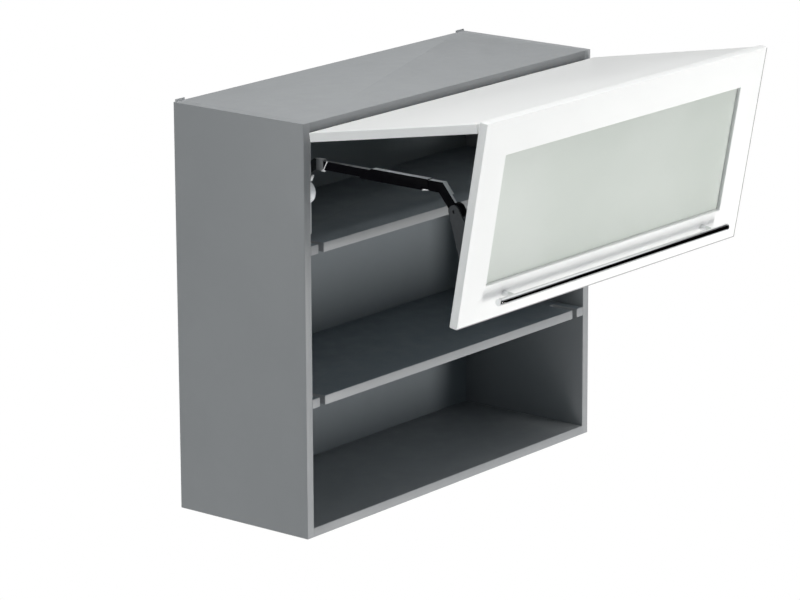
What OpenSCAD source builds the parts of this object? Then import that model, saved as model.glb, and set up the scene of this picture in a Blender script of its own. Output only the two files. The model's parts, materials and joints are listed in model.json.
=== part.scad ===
// Wall cabinet with a two-piece lift up front, drawn with the front folded open.
// Millimetres, X across, -Y to the room, +Z up. The wall is the plane Y = 0.

/* [Carcass] */
// outside width
width = 800; // [600:10:1000]
// outside height
height = 720; // [640:10:800]
// depth of the carcass without the front
depth = 288; // [260:2:340]
// thickness of the boards
board = 16; // [15:1:19]
// thickness of the back panel
back_t = 3; // [3:1:5]
// space between the back panel and the wall
back_inset = 14; // [10:1:20]
// depth of the grooves that hold the back panel
groove = 6; // [4:1:7]
// thickness of the glued edge bands
band_t = 1; // [0.5:0.5:2]
// distance from the cabinet's top down to the upper shelf's top face
upper_shelf_down = 211; // [205:1:240]
// height of the lower shelf's top face
lower_shelf_z = 243; // [200:1:300]
// gap at each end of a shelf
shelf_gap = 0.4; // [0.2:0.1:1]

/* [Fronts] */
// thickness of both fronts
front_t = 16; // [16:1:19]
// gap between the closed fronts and the carcass
standoff = 2; // [2:0.5:3]
// height left free above and below the fronts
reveal = 3.5; // [3:0.5:5]
// gap between the two closed fronts
front_gap = 3; // [3:0.5:4]
// width left free at each side of the fronts
side_gap = 1.5; // [1:0.5:3]
// width of the frame's stiles and rails
frame_w = 63.5; // [50:0.5:80]
// width of the rebate that holds the glass
rebate_w = 12; // [8:1:15]
// thickness of the lip in front of the glass
lip_t = 7; // [4:0.5:8]
// thickness of the glass
glass_t = 4; // [3:0.5:5]
// gap round the edge of the glass
glass_gap = 1; // [0.5:0.5:2]
// thickness of the strips that hold the glass
bead_t = 4.5; // [3:0.5:5]
// radius on the fronts' inner long edges
edge_r = 1.5; // [1:0.5:3]

/* [Handle] */
// diameter of the bar
bar_d = 12; // [10:0.5:14]
// length of the bar
bar_len = 656; // [500:4:720]
// distance between the posts
post_pitch = 568; // [320:8:640]
// distance from the front to the bar's axis
bar_off = 23.5; // [20:0.5:40]
// diameter of a post
post_d = 11; // [7:0.5:11]
// height of the bar above the lower front's edge
bar_up = 42; // [30:1:46]

/* [Motion] */
// angle that the upper front opens
open_angle = 100; // [90:1:110]
// lean of the open lower front from upright
lower_lean = 10.2; // [5:0.1:20]
// distance from the upper front's top edge down to its turning axis
top_axis_drop = 8.4; // [7.8:0.1:8.8]
// distance from the lower front's inner face to the fold axis
fold_axis_in = 8; // [7.5:0.1:8.5]
// distance from the lower front's top edge down to the fold axis
fold_axis_drop = 9.1; // [9:0.1:11]

/* [Lift] */
// distance from the lower front's top edge to the bracket's pivot
pivot_drop = 176; // [160:1:190]
// distance from the lower front's inner face to the bracket's pivot
pivot_off = 47; // [44:1:52]
// distance from the carcass front back to the lift's pivot
lift_in = 107; // [100:1:112]
// height of the open arm above its front pivot
arm_rise = 35.5; // [33:0.5:38]
// distance from the open arm's elbow back to its front pivot
elbow_back = 30; // [26:1:36]
// distance from the side panel to the arm
arm_off = 20; // [18:1:30]
// thickness of the arm's sleeve
sleeve_w = 12; // [10:1:14]
// height of the arm's sleeve
sleeve_h = 20; // [18:1:22]
// thickness of the arm's rod
rod_w = 9; // [7:1:10]
// height of the arm's rod
rod_h = 15; // [13:1:17]
// thickness of the lift's casing
case_w = 15.5; // [12:0.5:17]
// diameter of the lift's pivot pin
lift_pin_d = 10; // [8:1:12]
// running clearance of the pivot, on the radius
pin_play = 0.05; // [0.02:0.01:0.1]
// clearance between the arm and the shelf slots
slot_play = 0.8; // [0.6:0.1:2]

/* [Fittings] */
// distance from the middle to each hinge
hinge_x = 270; // [180:5:300]
// diameter of a hinge cup
cup_d = 35; // [26:1:35]
// depth of a hinge cup
cup_depth = 12.5; // [11:0.5:12.5]
// distance from a front's edge to the middle of a hinge cup
cup_in = 22; // [20:0.5:24]
// diameter of a shelf pin
pin_d = 5; // [4:0.5:6]
// diameter of a dowel
dowel_d = 8; // [6:1:10]
// diameter of a cam lock
cam_d = 15; // [12:1:16]
// width of a hanging plate
hang_w = 26; // [24:1:34]
// height of a hanging plate
hang_h = 92; // [70:2:120]
// thickness of a hanging plate
hang_t = 2.5; // [2:0.5:3]
// height of a hanging plate above the cabinet
hang_up = 4; // [2:0.5:6]
// diameter of the wall screw's hole
wall_hole_d = 6.5; // [5:0.5:8]

/* [Hidden] */
$fn = 64;
half_w = width / 2;
in_x = half_w - board;
upper_shelf_z = height - upper_shelf_down;
front_y = -depth;
back_y = -back_inset - back_t;
shelf_l = 2 * in_x - 2 * shelf_gap;
shelf_back_y = back_y - 0.3;
inner_y = front_y - standoff;
outer_y = inner_y - front_t;
front_w = width - 2 * side_gap;
front_h = (height - 2 * reveal - front_gap) / 2;
upper_top = height - reveal;
upper_bot = upper_top - front_h;
lower_top = upper_bot - front_gap;
lower_bot = lower_top - front_h;
open_w = front_w - 2 * frame_w;
open_h = front_h - 2 * frame_w;
pocket_w = open_w + 2 * rebate_w;
pocket_h = open_h + 2 * rebate_w;
lower_mid = lower_top - front_h / 2;
bar_z = lower_bot + bar_up;

// Turning a point [y, z] about the point c
function turn(p, c, a) = [c[0] + (p[0] - c[0]) * cos(a) - (p[1] - c[1]) * sin(a),
    c[1] + (p[0] - c[0]) * sin(a) + (p[1] - c[1]) * cos(a)];
function dist(p, q) = sqrt(pow(p[0] - q[0], 2) + pow(p[1] - q[1], 2));

top_axis = [outer_y, upper_top - top_axis_drop];
fold_axis = [inner_y - fold_axis_in, lower_top - fold_axis_drop];
fold_open = turn(fold_axis, top_axis, -open_angle);
pivot_closed = [inner_y + pivot_off, lower_top - pivot_drop];
pivot_open = turn(pivot_closed, fold_axis, lower_lean) + fold_open - fold_axis;

// The lift's pivot lies as far from the bracket's pivot closed as open
pivot_mid = (pivot_open + pivot_closed) / 2;
pivot_run = pivot_closed - pivot_open;
lift_y = front_y + lift_in;
lift_z = pivot_mid[1] - (lift_y - pivot_mid[0]) * pivot_run[0] / pivot_run[1];
lift_axis = [lift_y, lift_z];
case_down = 52;
case_up = 112;
case_fore = 94;
case_aft = 67;
base_t = 2;
case_wall = 2;
arm_angle = 2 * asin(dist(pivot_open, pivot_closed) / 2 / dist(pivot_open, lift_axis));

// Open arm, from its root at the lever to its elbow and front pivot
elbow = [pivot_open[0] + elbow_back, pivot_open[1] + arm_rise];
root = [front_y - 10, elbow[1] + 1.5];
root_closed = turn(root, lift_axis, arm_angle);
elbow_closed = turn(elbow, lift_axis, arm_angle);
arm_x0 = -in_x + arm_off;
arm_x1 = arm_x0 + sleeve_w;
arm_mx = (arm_x0 + arm_x1) / 2;
lever_w = 6;
lever_x1 = arm_x1 - 0.5;
lever_x0 = lever_x1 - lever_w;
slot_x0 = arm_x0 - slot_play;
slot_x1 = arm_x1 + slot_play;
knee = [front_y + 10, root[1]];
knee_closed = turn(knee, lift_axis, arm_angle);

// Where the closed arm crosses a height, and the slot depth that clears it
function cross_y(a, b, z) = a[0] + (b[0] - a[0]) * (z - a[1]) / (b[1] - a[1]);
slot_upper = cross_y(lift_axis, knee_closed, upper_shelf_z) + 19 - front_y;
slot_lower = max(root_closed[0], elbow_closed[0]) + sleeve_h - front_y + 5;

case_y0 = lift_axis[0] - case_fore;
case_y1 = lift_axis[0] + case_aft;
case_z0 = lift_axis[1] - case_down;
case_z1 = lift_axis[1] + case_up;
case_x0 = -in_x + base_t;
case_x1 = case_x0 + case_w;
dome = [case_y0 + 11, lift_axis[1] + 22];
dome_r = 20.5;
dome_h = 6.5;
spigot_d = 12;
boss_d = 26;
hub_d = 30;
eye_d = 28;
screw_in = 12;
pack_gap = 6;

module board_box(x0, x1, y0, y1, z0, z1) {
    translate([x0, y0, z0])
        cube([x1 - x0, y1 - y0, z1 - z0]);
}

module right() {
    mirror([1, 0, 0])
        children();
}

module both() {
    children();
    right()
        children();
}

// A rod along X from x0 to x1 at the point p = [y, z]
module rod_x(x0, x1, p, d) {
    translate([x0, p[0], p[1]])
        rotate([0, 90, 0])
            cylinder(h = x1 - x0, d = d);
}

// A plate between x0 and x1 with its outline in Y and Z
module plate_x(x0, x1, pts) {
    translate([x0, 0, 0])
        rotate([90, 0, 90])
            linear_extrude(height = x1 - x0)
                polygon(pts);
}

// A flat bar between x0 and x1 that runs from p to q
module link_x(x0, x1, p, q, h) {
    translate([x0, p[0], p[1]])
        rotate([atan2(q[1] - p[1], q[0] - p[0]), 0, 0])
            translate([0, 0, -h / 2])
                cube([x1 - x0, dist(p, q), h]);
}

// A flat bar of height h that runs from a over b to c with a mitred corner
function mitre(a, b, c, h) = let (u = (b - a) / dist(a, b), v = (c - b) / dist(b, c),
    n = [-u[1] - v[1], u[0] + v[0]]) b + n * h / (1 + u * v) / 2;

module bent_x(x0, x1, a, b, c, h) {
    u = (b - a) / dist(a, b);
    v = (c - b) / dist(b, c);
    na = [-u[1], u[0]] * h / 2;
    nc = [-v[1], v[0]] * h / 2;
    plate_x(x0, x1, [a - na, mitre(a, b, c, -h), c - nc, c + nc, mitre(a, b, c, h), a + na]);
}

module upper_pose() {
    translate([0, top_axis[0], top_axis[1]])
        rotate([-open_angle, 0, 0])
            translate([0, -top_axis[0], -top_axis[1]])
                children();
}

module lower_pose() {
    translate([0, fold_open[0], fold_open[1]])
        rotate([lower_lean, 0, 0])
            translate([0, -fold_axis[0], -fold_axis[1]])
                children();
}

// Holes and pins where a shelf is carried
pin_ys = [front_y + slot_upper + 22, back_y - 40];
pin_len = 17;
pin_sink = 9;

module pin_holes(z) {
    for (y = pin_ys)
        rod_x(-in_x - pin_sink - 0.5, -in_x + 1, [y, z - board - pin_d / 2], pin_d + 0.1);
}

// Corner joints: one dowel, a cam lock and its bolt at each of two places
joint_ys = [front_y + 50, back_y - 45];
joint_zs = [board / 2, height - board / 2];
bolt_d = 6;
cam_in = 24;

module dowel_at(y, z, play) {
    rod_x(-in_x - 9 - play, -in_x + 21 + play, [y + 32, z], dowel_d + 2 * play);
}

module bolt_at(y, z, play) {
    rod_x(-in_x - 11 - play, -in_x + cam_in, [y, z], bolt_d + 2 * play);
}

module cam_at(y, z, play) {
    up = z > height / 2 ? 1 : -1;
    h = board / 2 + 4.5 + play;
    face = z > height / 2 ? z - board / 2 : z + board / 2 - h;
    translate([-in_x + cam_in, y, z > height / 2 ? face : z - board / 2])
        cylinder(h = h, d = cam_d + 2 * play);
}

module joint_cuts(zs, play) {
    for (y = joint_ys)
        for (z = zs) {
            dowel_at(y, z, play);
            bolt_at(y, z, play);
        }
}

// Rear corner pocket for the hanging plate
module hang_pocket() {
    board_box(-half_w + 2 - 0.2, -half_w + 2 + hang_w + 0.2, -hang_t - 0.1, 1,
        height - hang_h + hang_up - 0.2, height + 1);
}

hang_holes_z = [height - 34, height - 72];
hang_screw_x = -half_w + 8.5;
wall_hole_x = -half_w + board + 5.5;
wall_hole_z = height - 52;

// ---------------------------------------------------------------- carcass

module side_solid() {
    difference() {
        board_box(-half_w, -in_x, front_y + band_t, 0, 0, height);
        board_box(-in_x - groove, -in_x + 1, back_y - 0.05, back_y + back_t + 0.05,
            board - groove, height - board + groove);
        joint_cuts(joint_zs, 0.05);
        pin_holes(upper_shelf_z);
        pin_holes(lower_shelf_z);
        hang_pocket();
        for (z = hang_holes_z)
            translate([hang_screw_x, 0.5, z])
                rotate([90, 0, 0])
                    cylinder(h = 31, d = 3.1);
        lift_screw_holes(-in_x - 12.5, 3.1);
    }
}

module side_panel_left() {
    color([0.49, 0.51, 0.52])
        side_solid();
}

module side_panel_right() {
    color([0.49, 0.51, 0.52])
        right()
            side_solid();
}

module end_panel(z0, groove_z) {
    difference() {
        board_box(-in_x, in_x, front_y + band_t, 0, z0, z0 + board);
        board_box(-in_x - 1, in_x + 1, back_y - 0.05, back_y + back_t + 0.05,
            groove_z, groove_z + groove + 1);
        both()
            joint_cuts([z0 + board / 2], 0.05);
        both()
            for (y = joint_ys)
                cam_at(y, z0 + board / 2, 0.05);
        both()
            hang_pocket();
    }
}

module top_panel() {
    color([0.6, 0.61, 0.62])
        difference() {
            end_panel(height - board, height - board - 1);
            both()
                top_plate_screws(height - board - 1, 12.5, 3.1);
        }
}

module bottom_panel() {
    color([0.49, 0.51, 0.52])
        end_panel(0, board - groove);
}

module shelf_solid(top, slot_d) {
    difference() {
        board_box(-shelf_l / 2, shelf_l / 2, front_y + band_t, shelf_back_y,
            top - board, top);
        both()
            board_box(slot_x0, slot_x1, front_y - 1, front_y + slot_d,
                top - board - 1, top + 1);
    }
}

module upper_shelf() {
    color([0.49, 0.51, 0.52])
        shelf_solid(upper_shelf_z, slot_upper);
}

module lower_shelf() {
    color([0.49, 0.51, 0.52])
        shelf_solid(lower_shelf_z, slot_lower);
}

module back_panel() {
    reach = groove - 0.5;
    color([0.4, 0.42, 0.43])
        board_box(-in_x - reach, in_x + reach, back_y, back_y + back_t,
            board - reach, height - board + reach);
}

module side_edge_bands() {
    color([0.58, 0.59, 0.6])
        both()
            board_box(-half_w, -in_x, front_y, front_y + band_t, 0, height);
}

module panel_edge_bands() {
    color([0.58, 0.59, 0.6])
        for (z = [0, height - board])
            board_box(-in_x, in_x, front_y, front_y + band_t, z, z + board);
}

module shelf_bands(top) {
    difference() {
        board_box(-shelf_l / 2, shelf_l / 2, front_y, front_y + band_t, top - board, top);
        both()
            board_box(slot_x0, slot_x1, front_y - 1, front_y + band_t + 1,
                top - board - 1, top + 1);
    }
}

module shelf_edge_bands() {
    color([0.58, 0.59, 0.6])
        for (top = [upper_shelf_z, lower_shelf_z])
            shelf_bands(top);
}

module shelf_pins() {
    color([0.75, 0.75, 0.76])
        both()
            for (z = [upper_shelf_z, lower_shelf_z])
                for (y = pin_ys)
                    rod_x(-in_x - pin_sink, -in_x + pin_len - pin_sink,
                        [y, z - board - pin_d / 2], pin_d);
}

module corner_dowels() {
    color([0.8, 0.68, 0.48])
        both()
            for (y = joint_ys)
                for (z = joint_zs)
                    dowel_at(y, z, 0);
}

module cam_bolts() {
    color([0.75, 0.75, 0.76])
        both()
            for (y = joint_ys)
                for (z = joint_zs) {
                    rod_x(-in_x - 11, -in_x + 16, [y, z], bolt_d);
                    rod_x(-in_x + 16, -in_x + 20, [y, z], bolt_d * 0.6);
                    rod_x(-in_x + 20, -in_x + 24, [y, z], bolt_d);
                }
}

module cam_locks() {
    color([0.7, 0.7, 0.72])
        both()
            for (y = joint_ys)
                for (z = joint_zs)
                    difference() {
                        cam_at(y, z, 0);
                        rod_x(-in_x + 10, -in_x + 25, [y, z], bolt_d + 0.4);
                        translate([-in_x + cam_in + 4, y,
                            z > height / 2 ? height - board - 1 : -1])
                            cube([1.4, 8, 4], center = true);
                        translate([-in_x + cam_in + 2, y,
                            z > height / 2 ? height - board : 0])
                            cube([7, 1.4, 3], center = true);
                    }
}

// ---------------------------------------------------------- wall hanging

module hang_solid() {
    difference() {
        union() {
            board_box(-half_w + 2, -half_w + 2 + hang_w, -hang_t, 0,
                height - hang_h + hang_up, height);
            board_box(-half_w + 4, -half_w + hang_w, -hang_t, 0, height - 1,
                height + hang_up);
        }
        for (z = hang_holes_z)
            translate([hang_screw_x, 1, z])
                rotate([90, 0, 0])
                    cylinder(h = hang_t + 2, d = 4.5);
        for (z = hang_holes_z)
            translate([hang_screw_x, 0, z])
                rotate([90, 0, 0])
                    cylinder(h = 1.6, d1 = 8.2, d2 = 4.5);
        translate([wall_hole_x, 1, wall_hole_z])
            rotate([90, 0, 0])
                cylinder(h = hang_t + 2, d = wall_hole_d);
    }
}

module hanging_plate_left() {
    color([0.62, 0.63, 0.64])
        hang_solid();
}

module hanging_plate_right() {
    color([0.62, 0.63, 0.64])
        right()
            hang_solid();
}

module hanging_screws() {
    color([0.75, 0.75, 0.76])
        both()
            for (z = hang_holes_z)
                translate([hang_screw_x, -0.2, z])
                    rotate([90, 0, 0])
                        difference() {
                            union() {
                                cylinder(h = 1.5, d1 = 7.6, d2 = 4.2);
                                cylinder(h = 28, d = 3);
                            }
                            cube([5, 0.9, 1.2], center = true);
                            cube([0.9, 5, 1.2], center = true);
                        }
}

// ------------------------------------------------------- top and fold hinges

// Hinge arm under the top panel; its finger reaches the cup in the upper front
cup_wall = 1.5;
cup_floor = 1;
nose_d = 3.2;
finger_t = 3.2;
swing_gap = 0.3;
plate_y0 = front_y + 28;
hinge_plate_len = 38;
hinge_plate_half = 19;
plate_y1 = plate_y0 + hinge_plate_len;

module top_plate_screws(z0, h, d) {
    for (y = [plate_y0 + 7, plate_y1 - 7])
        translate([-hinge_x, y, z0])
            cylinder(h = h + 1, d = d);
}

module top_hinge_plates() {
    color([0.72, 0.73, 0.74])
        both()
            difference() {
                board_box(-hinge_x - hinge_plate_half, -hinge_x + hinge_plate_half, plate_y0, plate_y1,
                    height - board - 4, height - board);
                for (y = [plate_y0 + 7, plate_y1 - 7])
                    translate([-hinge_x, y, height - board - 5])
                        cylinder(h = 6, d = 4.2);
            }
}

module top_hinge_screws() {
    color([0.75, 0.75, 0.76])
        both()
            for (y = [plate_y0 + 7, plate_y1 - 7]) {
                translate([-hinge_x, y, height - board - 4])
                    cylinder(h = 15, d = 3);
                translate([-hinge_x, y, height - board - 5.6])
                    cylinder(h = 1.6, d = 6);
            }
}

arm_top = height - board - 6;
// The finger's nose rests near the cup's floor and clears the front's rounded edge
function swing_r(corner, axis) = dist(corner, axis) + edge_r + swing_gap + nose_d / 2;
nose_r = swing_r([inner_y - edge_r, upper_top - edge_r], top_axis);
nose_y = inner_y - cup_depth + cup_floor + swing_gap + nose_d / 2;
nose = [nose_y, top_axis[1] - sqrt(pow(nose_r, 2) - pow(nose_y - top_axis[0], 2))];

module top_hinge_arms() {
    color([0.78, 0.79, 0.8])
        both()
            difference() {
                union() {
                    board_box(-hinge_x - 9, -hinge_x + 9, front_y + 6, plate_y1 - 2,
                        arm_top - 9, arm_top - 7.5);
                    for (s = [-1, 1])
                        board_box(-hinge_x + s * 8.25 - 0.75, -hinge_x + s * 8.25 + 0.75,
                            front_y + 6, plate_y1 - 2, arm_top - 9, height - board - 4);
                    board_box(-hinge_x - 9, -hinge_x + 9, plate_y0 + 12, plate_y1 - 12,
                        arm_top - 8, height - board - 4);
                    link_x(-hinge_x - 5, -hinge_x + 5, nose,
                        [front_y + 8, arm_top - 8.2], finger_t);
                    rod_x(-hinge_x - 5, -hinge_x + 5, nose, nose_d);
                }
                translate([-hinge_x, front_y + 46, arm_top - 12])
                    cylinder(h = 8, d = 5);
            }
}

cup_face = inner_y;

module cup_hole(z, play) {
    translate([-hinge_x, cup_face + 1, z])
        rotate([90, 0, 0])
            cylinder(h = cup_depth + 1 + play, d = cup_d + 2 * play);
}

module cup_wings(z, play) {
    translate([-hinge_x, cup_face, z])
        rotate([90, 0, 0])
            union() {
                translate([-26 - play, -8 - play, -1])
                    cube([52 + 2 * play, 16 + 2 * play, 2.2 + play]);
                translate([0, 0, -1])
                    cylinder(h = 2.2 + play, d = cup_d + 5 + 2 * play);
            }
}

// A hinge cup let in flush, with its mouth to the cabinet
module cup_solid(z) {
    difference() {
        union() {
            translate([-hinge_x, cup_face, z])
                rotate([90, 0, 0])
                    cylinder(h = cup_depth, d = cup_d);
            intersection() {
                cup_wings(z, 0);
                board_box(-hinge_x - 40, -hinge_x + 40, cup_face - 3, cup_face,
                    z - 40, z + 40);
            }
        }
        translate([-hinge_x, cup_face + 1, z])
            rotate([90, 0, 0])
                cylinder(h = cup_depth + 1 - cup_floor, d = cup_d - 2 * cup_wall);
        cup_screw_holes(z, 3.6);
    }
}

module cup_screw_holes(z, d) {
    for (s = [-1, 1])
        translate([-hinge_x + s * 22.3, cup_face + 1, z])
            rotate([90, 0, 0])
                cylinder(h = 12, d = d);
}

module cup_screws(z) {
    for (s = [-1, 1])
        translate([-hinge_x + s * 22.3, cup_face, z])
            rotate([90, 0, 0])
                cylinder(h = 10.5, d = 3);
}

// ------------------------------------------------------------ upper front

upper_cup_z = upper_top - cup_in;
fold_arm_z = upper_bot + 32;

// A front board with its two inner long edges rounded
module front_board(z0, z1) {
    translate([-front_w / 2, 0, 0])
        rotate([90, 0, 90])
            linear_extrude(height = front_w)
                union() {
                    translate([outer_y, z0])
                        square([front_t - edge_r, z1 - z0]);
                    translate([outer_y, z0 + edge_r])
                        square([front_t, z1 - z0 - 2 * edge_r]);
                    translate([inner_y - edge_r, z0 + edge_r])
                        circle(r = edge_r);
                    translate([inner_y - edge_r, z1 - edge_r])
                        circle(r = edge_r);
                }
}

module upper_front() {
    color([0.9, 0.9, 0.89])
        upper_pose()
            difference() {
                front_board(upper_bot, upper_top);
                both() {
                    cup_hole(upper_cup_z, 0.1);
                    cup_wings(upper_cup_z, 0.1);
                    cup_screw_holes(upper_cup_z, 3.1);
                    fold_plate_screws(3.1, 11.5);
                }
            }
}

module top_hinge_cups() {
    color([0.78, 0.79, 0.8])
        upper_pose()
            both()
                cup_solid(upper_cup_z);
}

module top_cup_screws() {
    color([0.75, 0.75, 0.76])
        upper_pose()
            both()
                cup_screws(upper_cup_z);
}

module fold_plate_screws(d, h) {
    for (s = [-1, 1])
        translate([-hinge_x + s * fold_screw_x, inner_y + 4, fold_arm_z])
            rotate([90, 0, 0])
                cylinder(h = h + 4, d = d);
}

// Fold hinge arm on the upper front's inner face; its finger dips into the cup
// of the lower front when the fronts are folded
fold_r = swing_r([inner_y - edge_r, lower_top - edge_r], fold_axis);
fold_turn = acos((nose_y - fold_axis[0]) / fold_r) - open_angle - lower_lean;
fold_nose = [fold_axis[0] + fold_r * cos(fold_turn), fold_axis[1] - fold_r * sin(fold_turn)];

fold_screw_x = 13;

module fold_hinge_arms() {
    color([0.78, 0.79, 0.8])
        upper_pose()
            both()
                difference() {
                    union() {
                        board_box(-hinge_x - 19, -hinge_x + 19, inner_y, inner_y + 2.5,
                            fold_arm_z - 9, fold_arm_z + 9);
                        board_box(-hinge_x - 7, -hinge_x + 7, inner_y, inner_y + 9,
                            upper_bot + 6, fold_arm_z + 16);
                        link_x(-hinge_x - 5, -hinge_x + 5, fold_nose,
                            [fold_nose[0], upper_bot + 8], finger_t);
                        rod_x(-hinge_x - 5, -hinge_x + 5, fold_nose, nose_d);
                    }
                    for (s = [-1, 1])
                        translate([-hinge_x + s * fold_screw_x, inner_y + 4, fold_arm_z])
                            rotate([90, 0, 0])
                                cylinder(h = 6, d = 4.2);
                }
}

module fold_arm_screws() {
    color([0.75, 0.75, 0.76])
        upper_pose()
            both()
                for (s = [-1, 1])
                    translate([-hinge_x + s * fold_screw_x, inner_y + 4, fold_arm_z])
                        rotate([90, 0, 0])
                            union() {
                                cylinder(h = 1.5, d = 6);
                                cylinder(h = 14, d = 3);
                            }
}

// ------------------------------------------------------------ lower front

lower_cup_z = lower_top - cup_in - 6;

module lower_frame() {
    color([0.95, 0.95, 0.94])
        lower_pose()
            difference() {
                front_board(lower_bot, lower_top);
                board_box(-open_w / 2, open_w / 2, outer_y - 1, inner_y + 1,
                    lower_mid - open_h / 2, lower_mid + open_h / 2);
                board_box(-pocket_w / 2, pocket_w / 2, outer_y + lip_t, inner_y + 1,
                    lower_mid - pocket_h / 2, lower_mid + pocket_h / 2);
                both() {
                    cup_hole(lower_cup_z, 0.1);
                    cup_wings(lower_cup_z, 0.1);
                    cup_screw_holes(lower_cup_z, 3.1);
                    bracket_screw_holes(12, 3.1);
                }
                for (s = [-1, 1])
                    translate([s * post_pitch / 2, inner_y + 1, bar_z])
                        rotate([90, 0, 0])
                            cylinder(h = front_t + 2, d = 4.6);
            }
}

module glass_pane() {
    w = pocket_w - 2 * glass_gap;
    h = pocket_h - 2 * glass_gap;
    color([0.8, 0.83, 0.8, 0.6])
        lower_pose()
            board_box(-w / 2, w / 2, outer_y + lip_t, outer_y + lip_t + glass_t,
                lower_mid - h / 2, lower_mid + h / 2);
}

bead_y0 = outer_y + lip_t + glass_t;

module bead_rails() {
    color([0.93, 0.93, 0.92])
        lower_pose()
            for (s = [-1, 1])
                translate([0, 0, lower_mid + s * (pocket_h / 2 - rebate_w / 2 - 0.1)])
                    board_box(-pocket_w / 2 + 0.3, pocket_w / 2 - 0.3, bead_y0,
                        bead_y0 + bead_t, -rebate_w / 2 + 0.2, rebate_w / 2);
}

module bead_stiles() {
    h = pocket_h / 2 - rebate_w - 0.3;
    color([0.93, 0.93, 0.92])
        lower_pose()
            both()
                board_box(-pocket_w / 2 + 0.1, -pocket_w / 2 + rebate_w - 0.2, bead_y0,
                    bead_y0 + bead_t, lower_mid - h, lower_mid + h);
}

module fold_hinge_cups() {
    color([0.78, 0.79, 0.8])
        lower_pose()
            both()
                cup_solid(lower_cup_z);
}

module fold_cup_screws() {
    color([0.75, 0.75, 0.76])
        lower_pose()
            both()
                cup_screws(lower_cup_z);
}

// Soft dots that keep the closed front off the carcass
module door_bumpers() {
    color([0.85, 0.86, 0.87])
        lower_pose()
            for (s = [-1, 1])
                translate([s * (half_w - board / 2), inner_y + standoff - 0.3, lower_bot + 22])
                    rotate([90, 0, 0])
                        cylinder(h = standoff - 0.3, d = 8);
}

bar_y = outer_y - bar_off;
post_bore = 12;

module handle_bar() {
    color([0.85, 0.86, 0.87])
        lower_pose()
            difference() {
                rod_x(-bar_len / 2, bar_len / 2, [bar_y, bar_z], bar_d);
                for (s = [-1, 1])
                    translate([s * post_pitch / 2, outer_y, bar_z])
                        rotate([90, 0, 0])
                            cylinder(h = bar_off - bar_d / 2 + 2.1, d = post_d - 2.9);
            }
}

// A post has a spigot in the bar and a threaded bore for its screw
module handle_posts() {
    flat = bar_off - sqrt(pow(bar_d / 2, 2) - pow(post_d / 2, 2));
    color([0.85, 0.86, 0.87])
        lower_pose()
            for (s = [-1, 1])
                translate([s * post_pitch / 2, outer_y, bar_z])
                    rotate([90, 0, 0])
                        difference() {
                            union() {
                                difference() {
                                    cylinder(h = flat, d = post_d);
                                    translate([-20, 0, bar_off])
                                        rotate([0, 90, 0])
                                            cylinder(h = 40, d = bar_d + 0.02);
                                }
                                cylinder(h = bar_off - bar_d / 2 + 1.8, d = post_d - 3);
                            }
                            translate([0, 0, -1])
                                cylinder(h = post_bore + 1, d = 4);
                        }
}

module handle_screws() {
    color([0.75, 0.75, 0.76])
        lower_pose()
            for (s = [-1, 1])
                translate([s * post_pitch / 2, inner_y + 2.2, bar_z])
                    rotate([90, 0, 0])
                        difference() {
                            union() {
                                cylinder(h = 2.2, d = 8.5);
                                cylinder(h = front_t + 2.2 + post_bore - 1, d = 3.96);
                            }
                            cube([6, 1.2, 2.4], center = true);
                            cube([1.2, 6, 2.4], center = true);
                        }
}

// Bracket that carries the arm, on the lower front's inner face
bracket_x1 = arm_x0 - 0.3;
bracket_t = 2.5;
bracket_x0 = bracket_x1 - bracket_t;
foot_h = 64;
foot_z1 = pivot_closed[1] - eye_d;
foot_z0 = foot_z1 - foot_h;
foot_in = 12;

module bracket_screw_holes(h, d) {
    for (z = [foot_z0 + foot_in, foot_z1 - foot_in])
        translate([bracket_x0 - 7, inner_y + 2, z])
            rotate([90, 0, 0])
                cylinder(h = h + 2, d = d);
}

module bracket_solid() {
    p = pivot_closed;
    difference() {
        union() {
            plate_x(bracket_x0, bracket_x1, [[inner_y, foot_z0], [inner_y + 14, foot_z0],
                [p[0] + 5.2, p[1] - 9.4], [p[0] - 10.2, p[1] + 4], [inner_y + 8, foot_z1],
                [inner_y, foot_z1]]);
            rod_x(bracket_x0, bracket_x1, p, 22);
            board_box(bracket_x0 - 15, bracket_x0 + 1, inner_y, inner_y + 2, foot_z0,
                foot_z1);
        }
        rod_x(bracket_x0 - 1, bracket_x1 + 1, p, 6);
        for (z = [foot_z0 + foot_in, foot_z1 - foot_in])
            translate([bracket_x0 - 7, inner_y + 3, z])
                rotate([90, 0, 0])
                    cylinder(h = 4, d = 4.2);
    }
}

module door_bracket_left() {
    color([0.3, 0.31, 0.32])
        lower_pose()
            bracket_solid();
}

module door_bracket_right() {
    color([0.3, 0.31, 0.32])
        lower_pose()
            right()
                bracket_solid();
}

module bracket_screws() {
    color([0.3, 0.31, 0.32])
        lower_pose()
            both()
                for (z = [foot_z0 + foot_in, foot_z1 - foot_in])
                    translate([bracket_x0 - 7, inner_y + 3.6, z])
                        rotate([90, 0, 0])
                            union() {
                                cylinder(h = 1.6, d = 7);
                                cylinder(h = 13.6, d = 3);
                            }
}

// ------------------------------------------------------------ lift, fixed

lift_holes = [for (y = [case_y0 + screw_in, case_y1 - screw_in])
    for (z = [case_z0 + screw_in, case_z1 - screw_in]) [y, z]];

module lift_screw_holes(x0, d) {
    for (p = lift_holes)
        rod_x(x0, -in_x + 3, p, d);
}

module base_solid() {
    difference() {
        board_box(-in_x, -in_x + base_t, case_y0, case_y1, case_z0, case_z1);
        for (p = lift_holes)
            rod_x(-in_x - 1, -in_x + base_t + 1, p, 4.4);
        rod_x(-in_x - 1, -in_x + base_t + 1, lift_axis, lift_pin_d - 2);
    }
}

module lift_base_left() {
    color([0.68, 0.69, 0.7])
        base_solid();
}

module lift_base_right() {
    color([0.68, 0.69, 0.7])
        right()
            base_solid();
}

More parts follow.
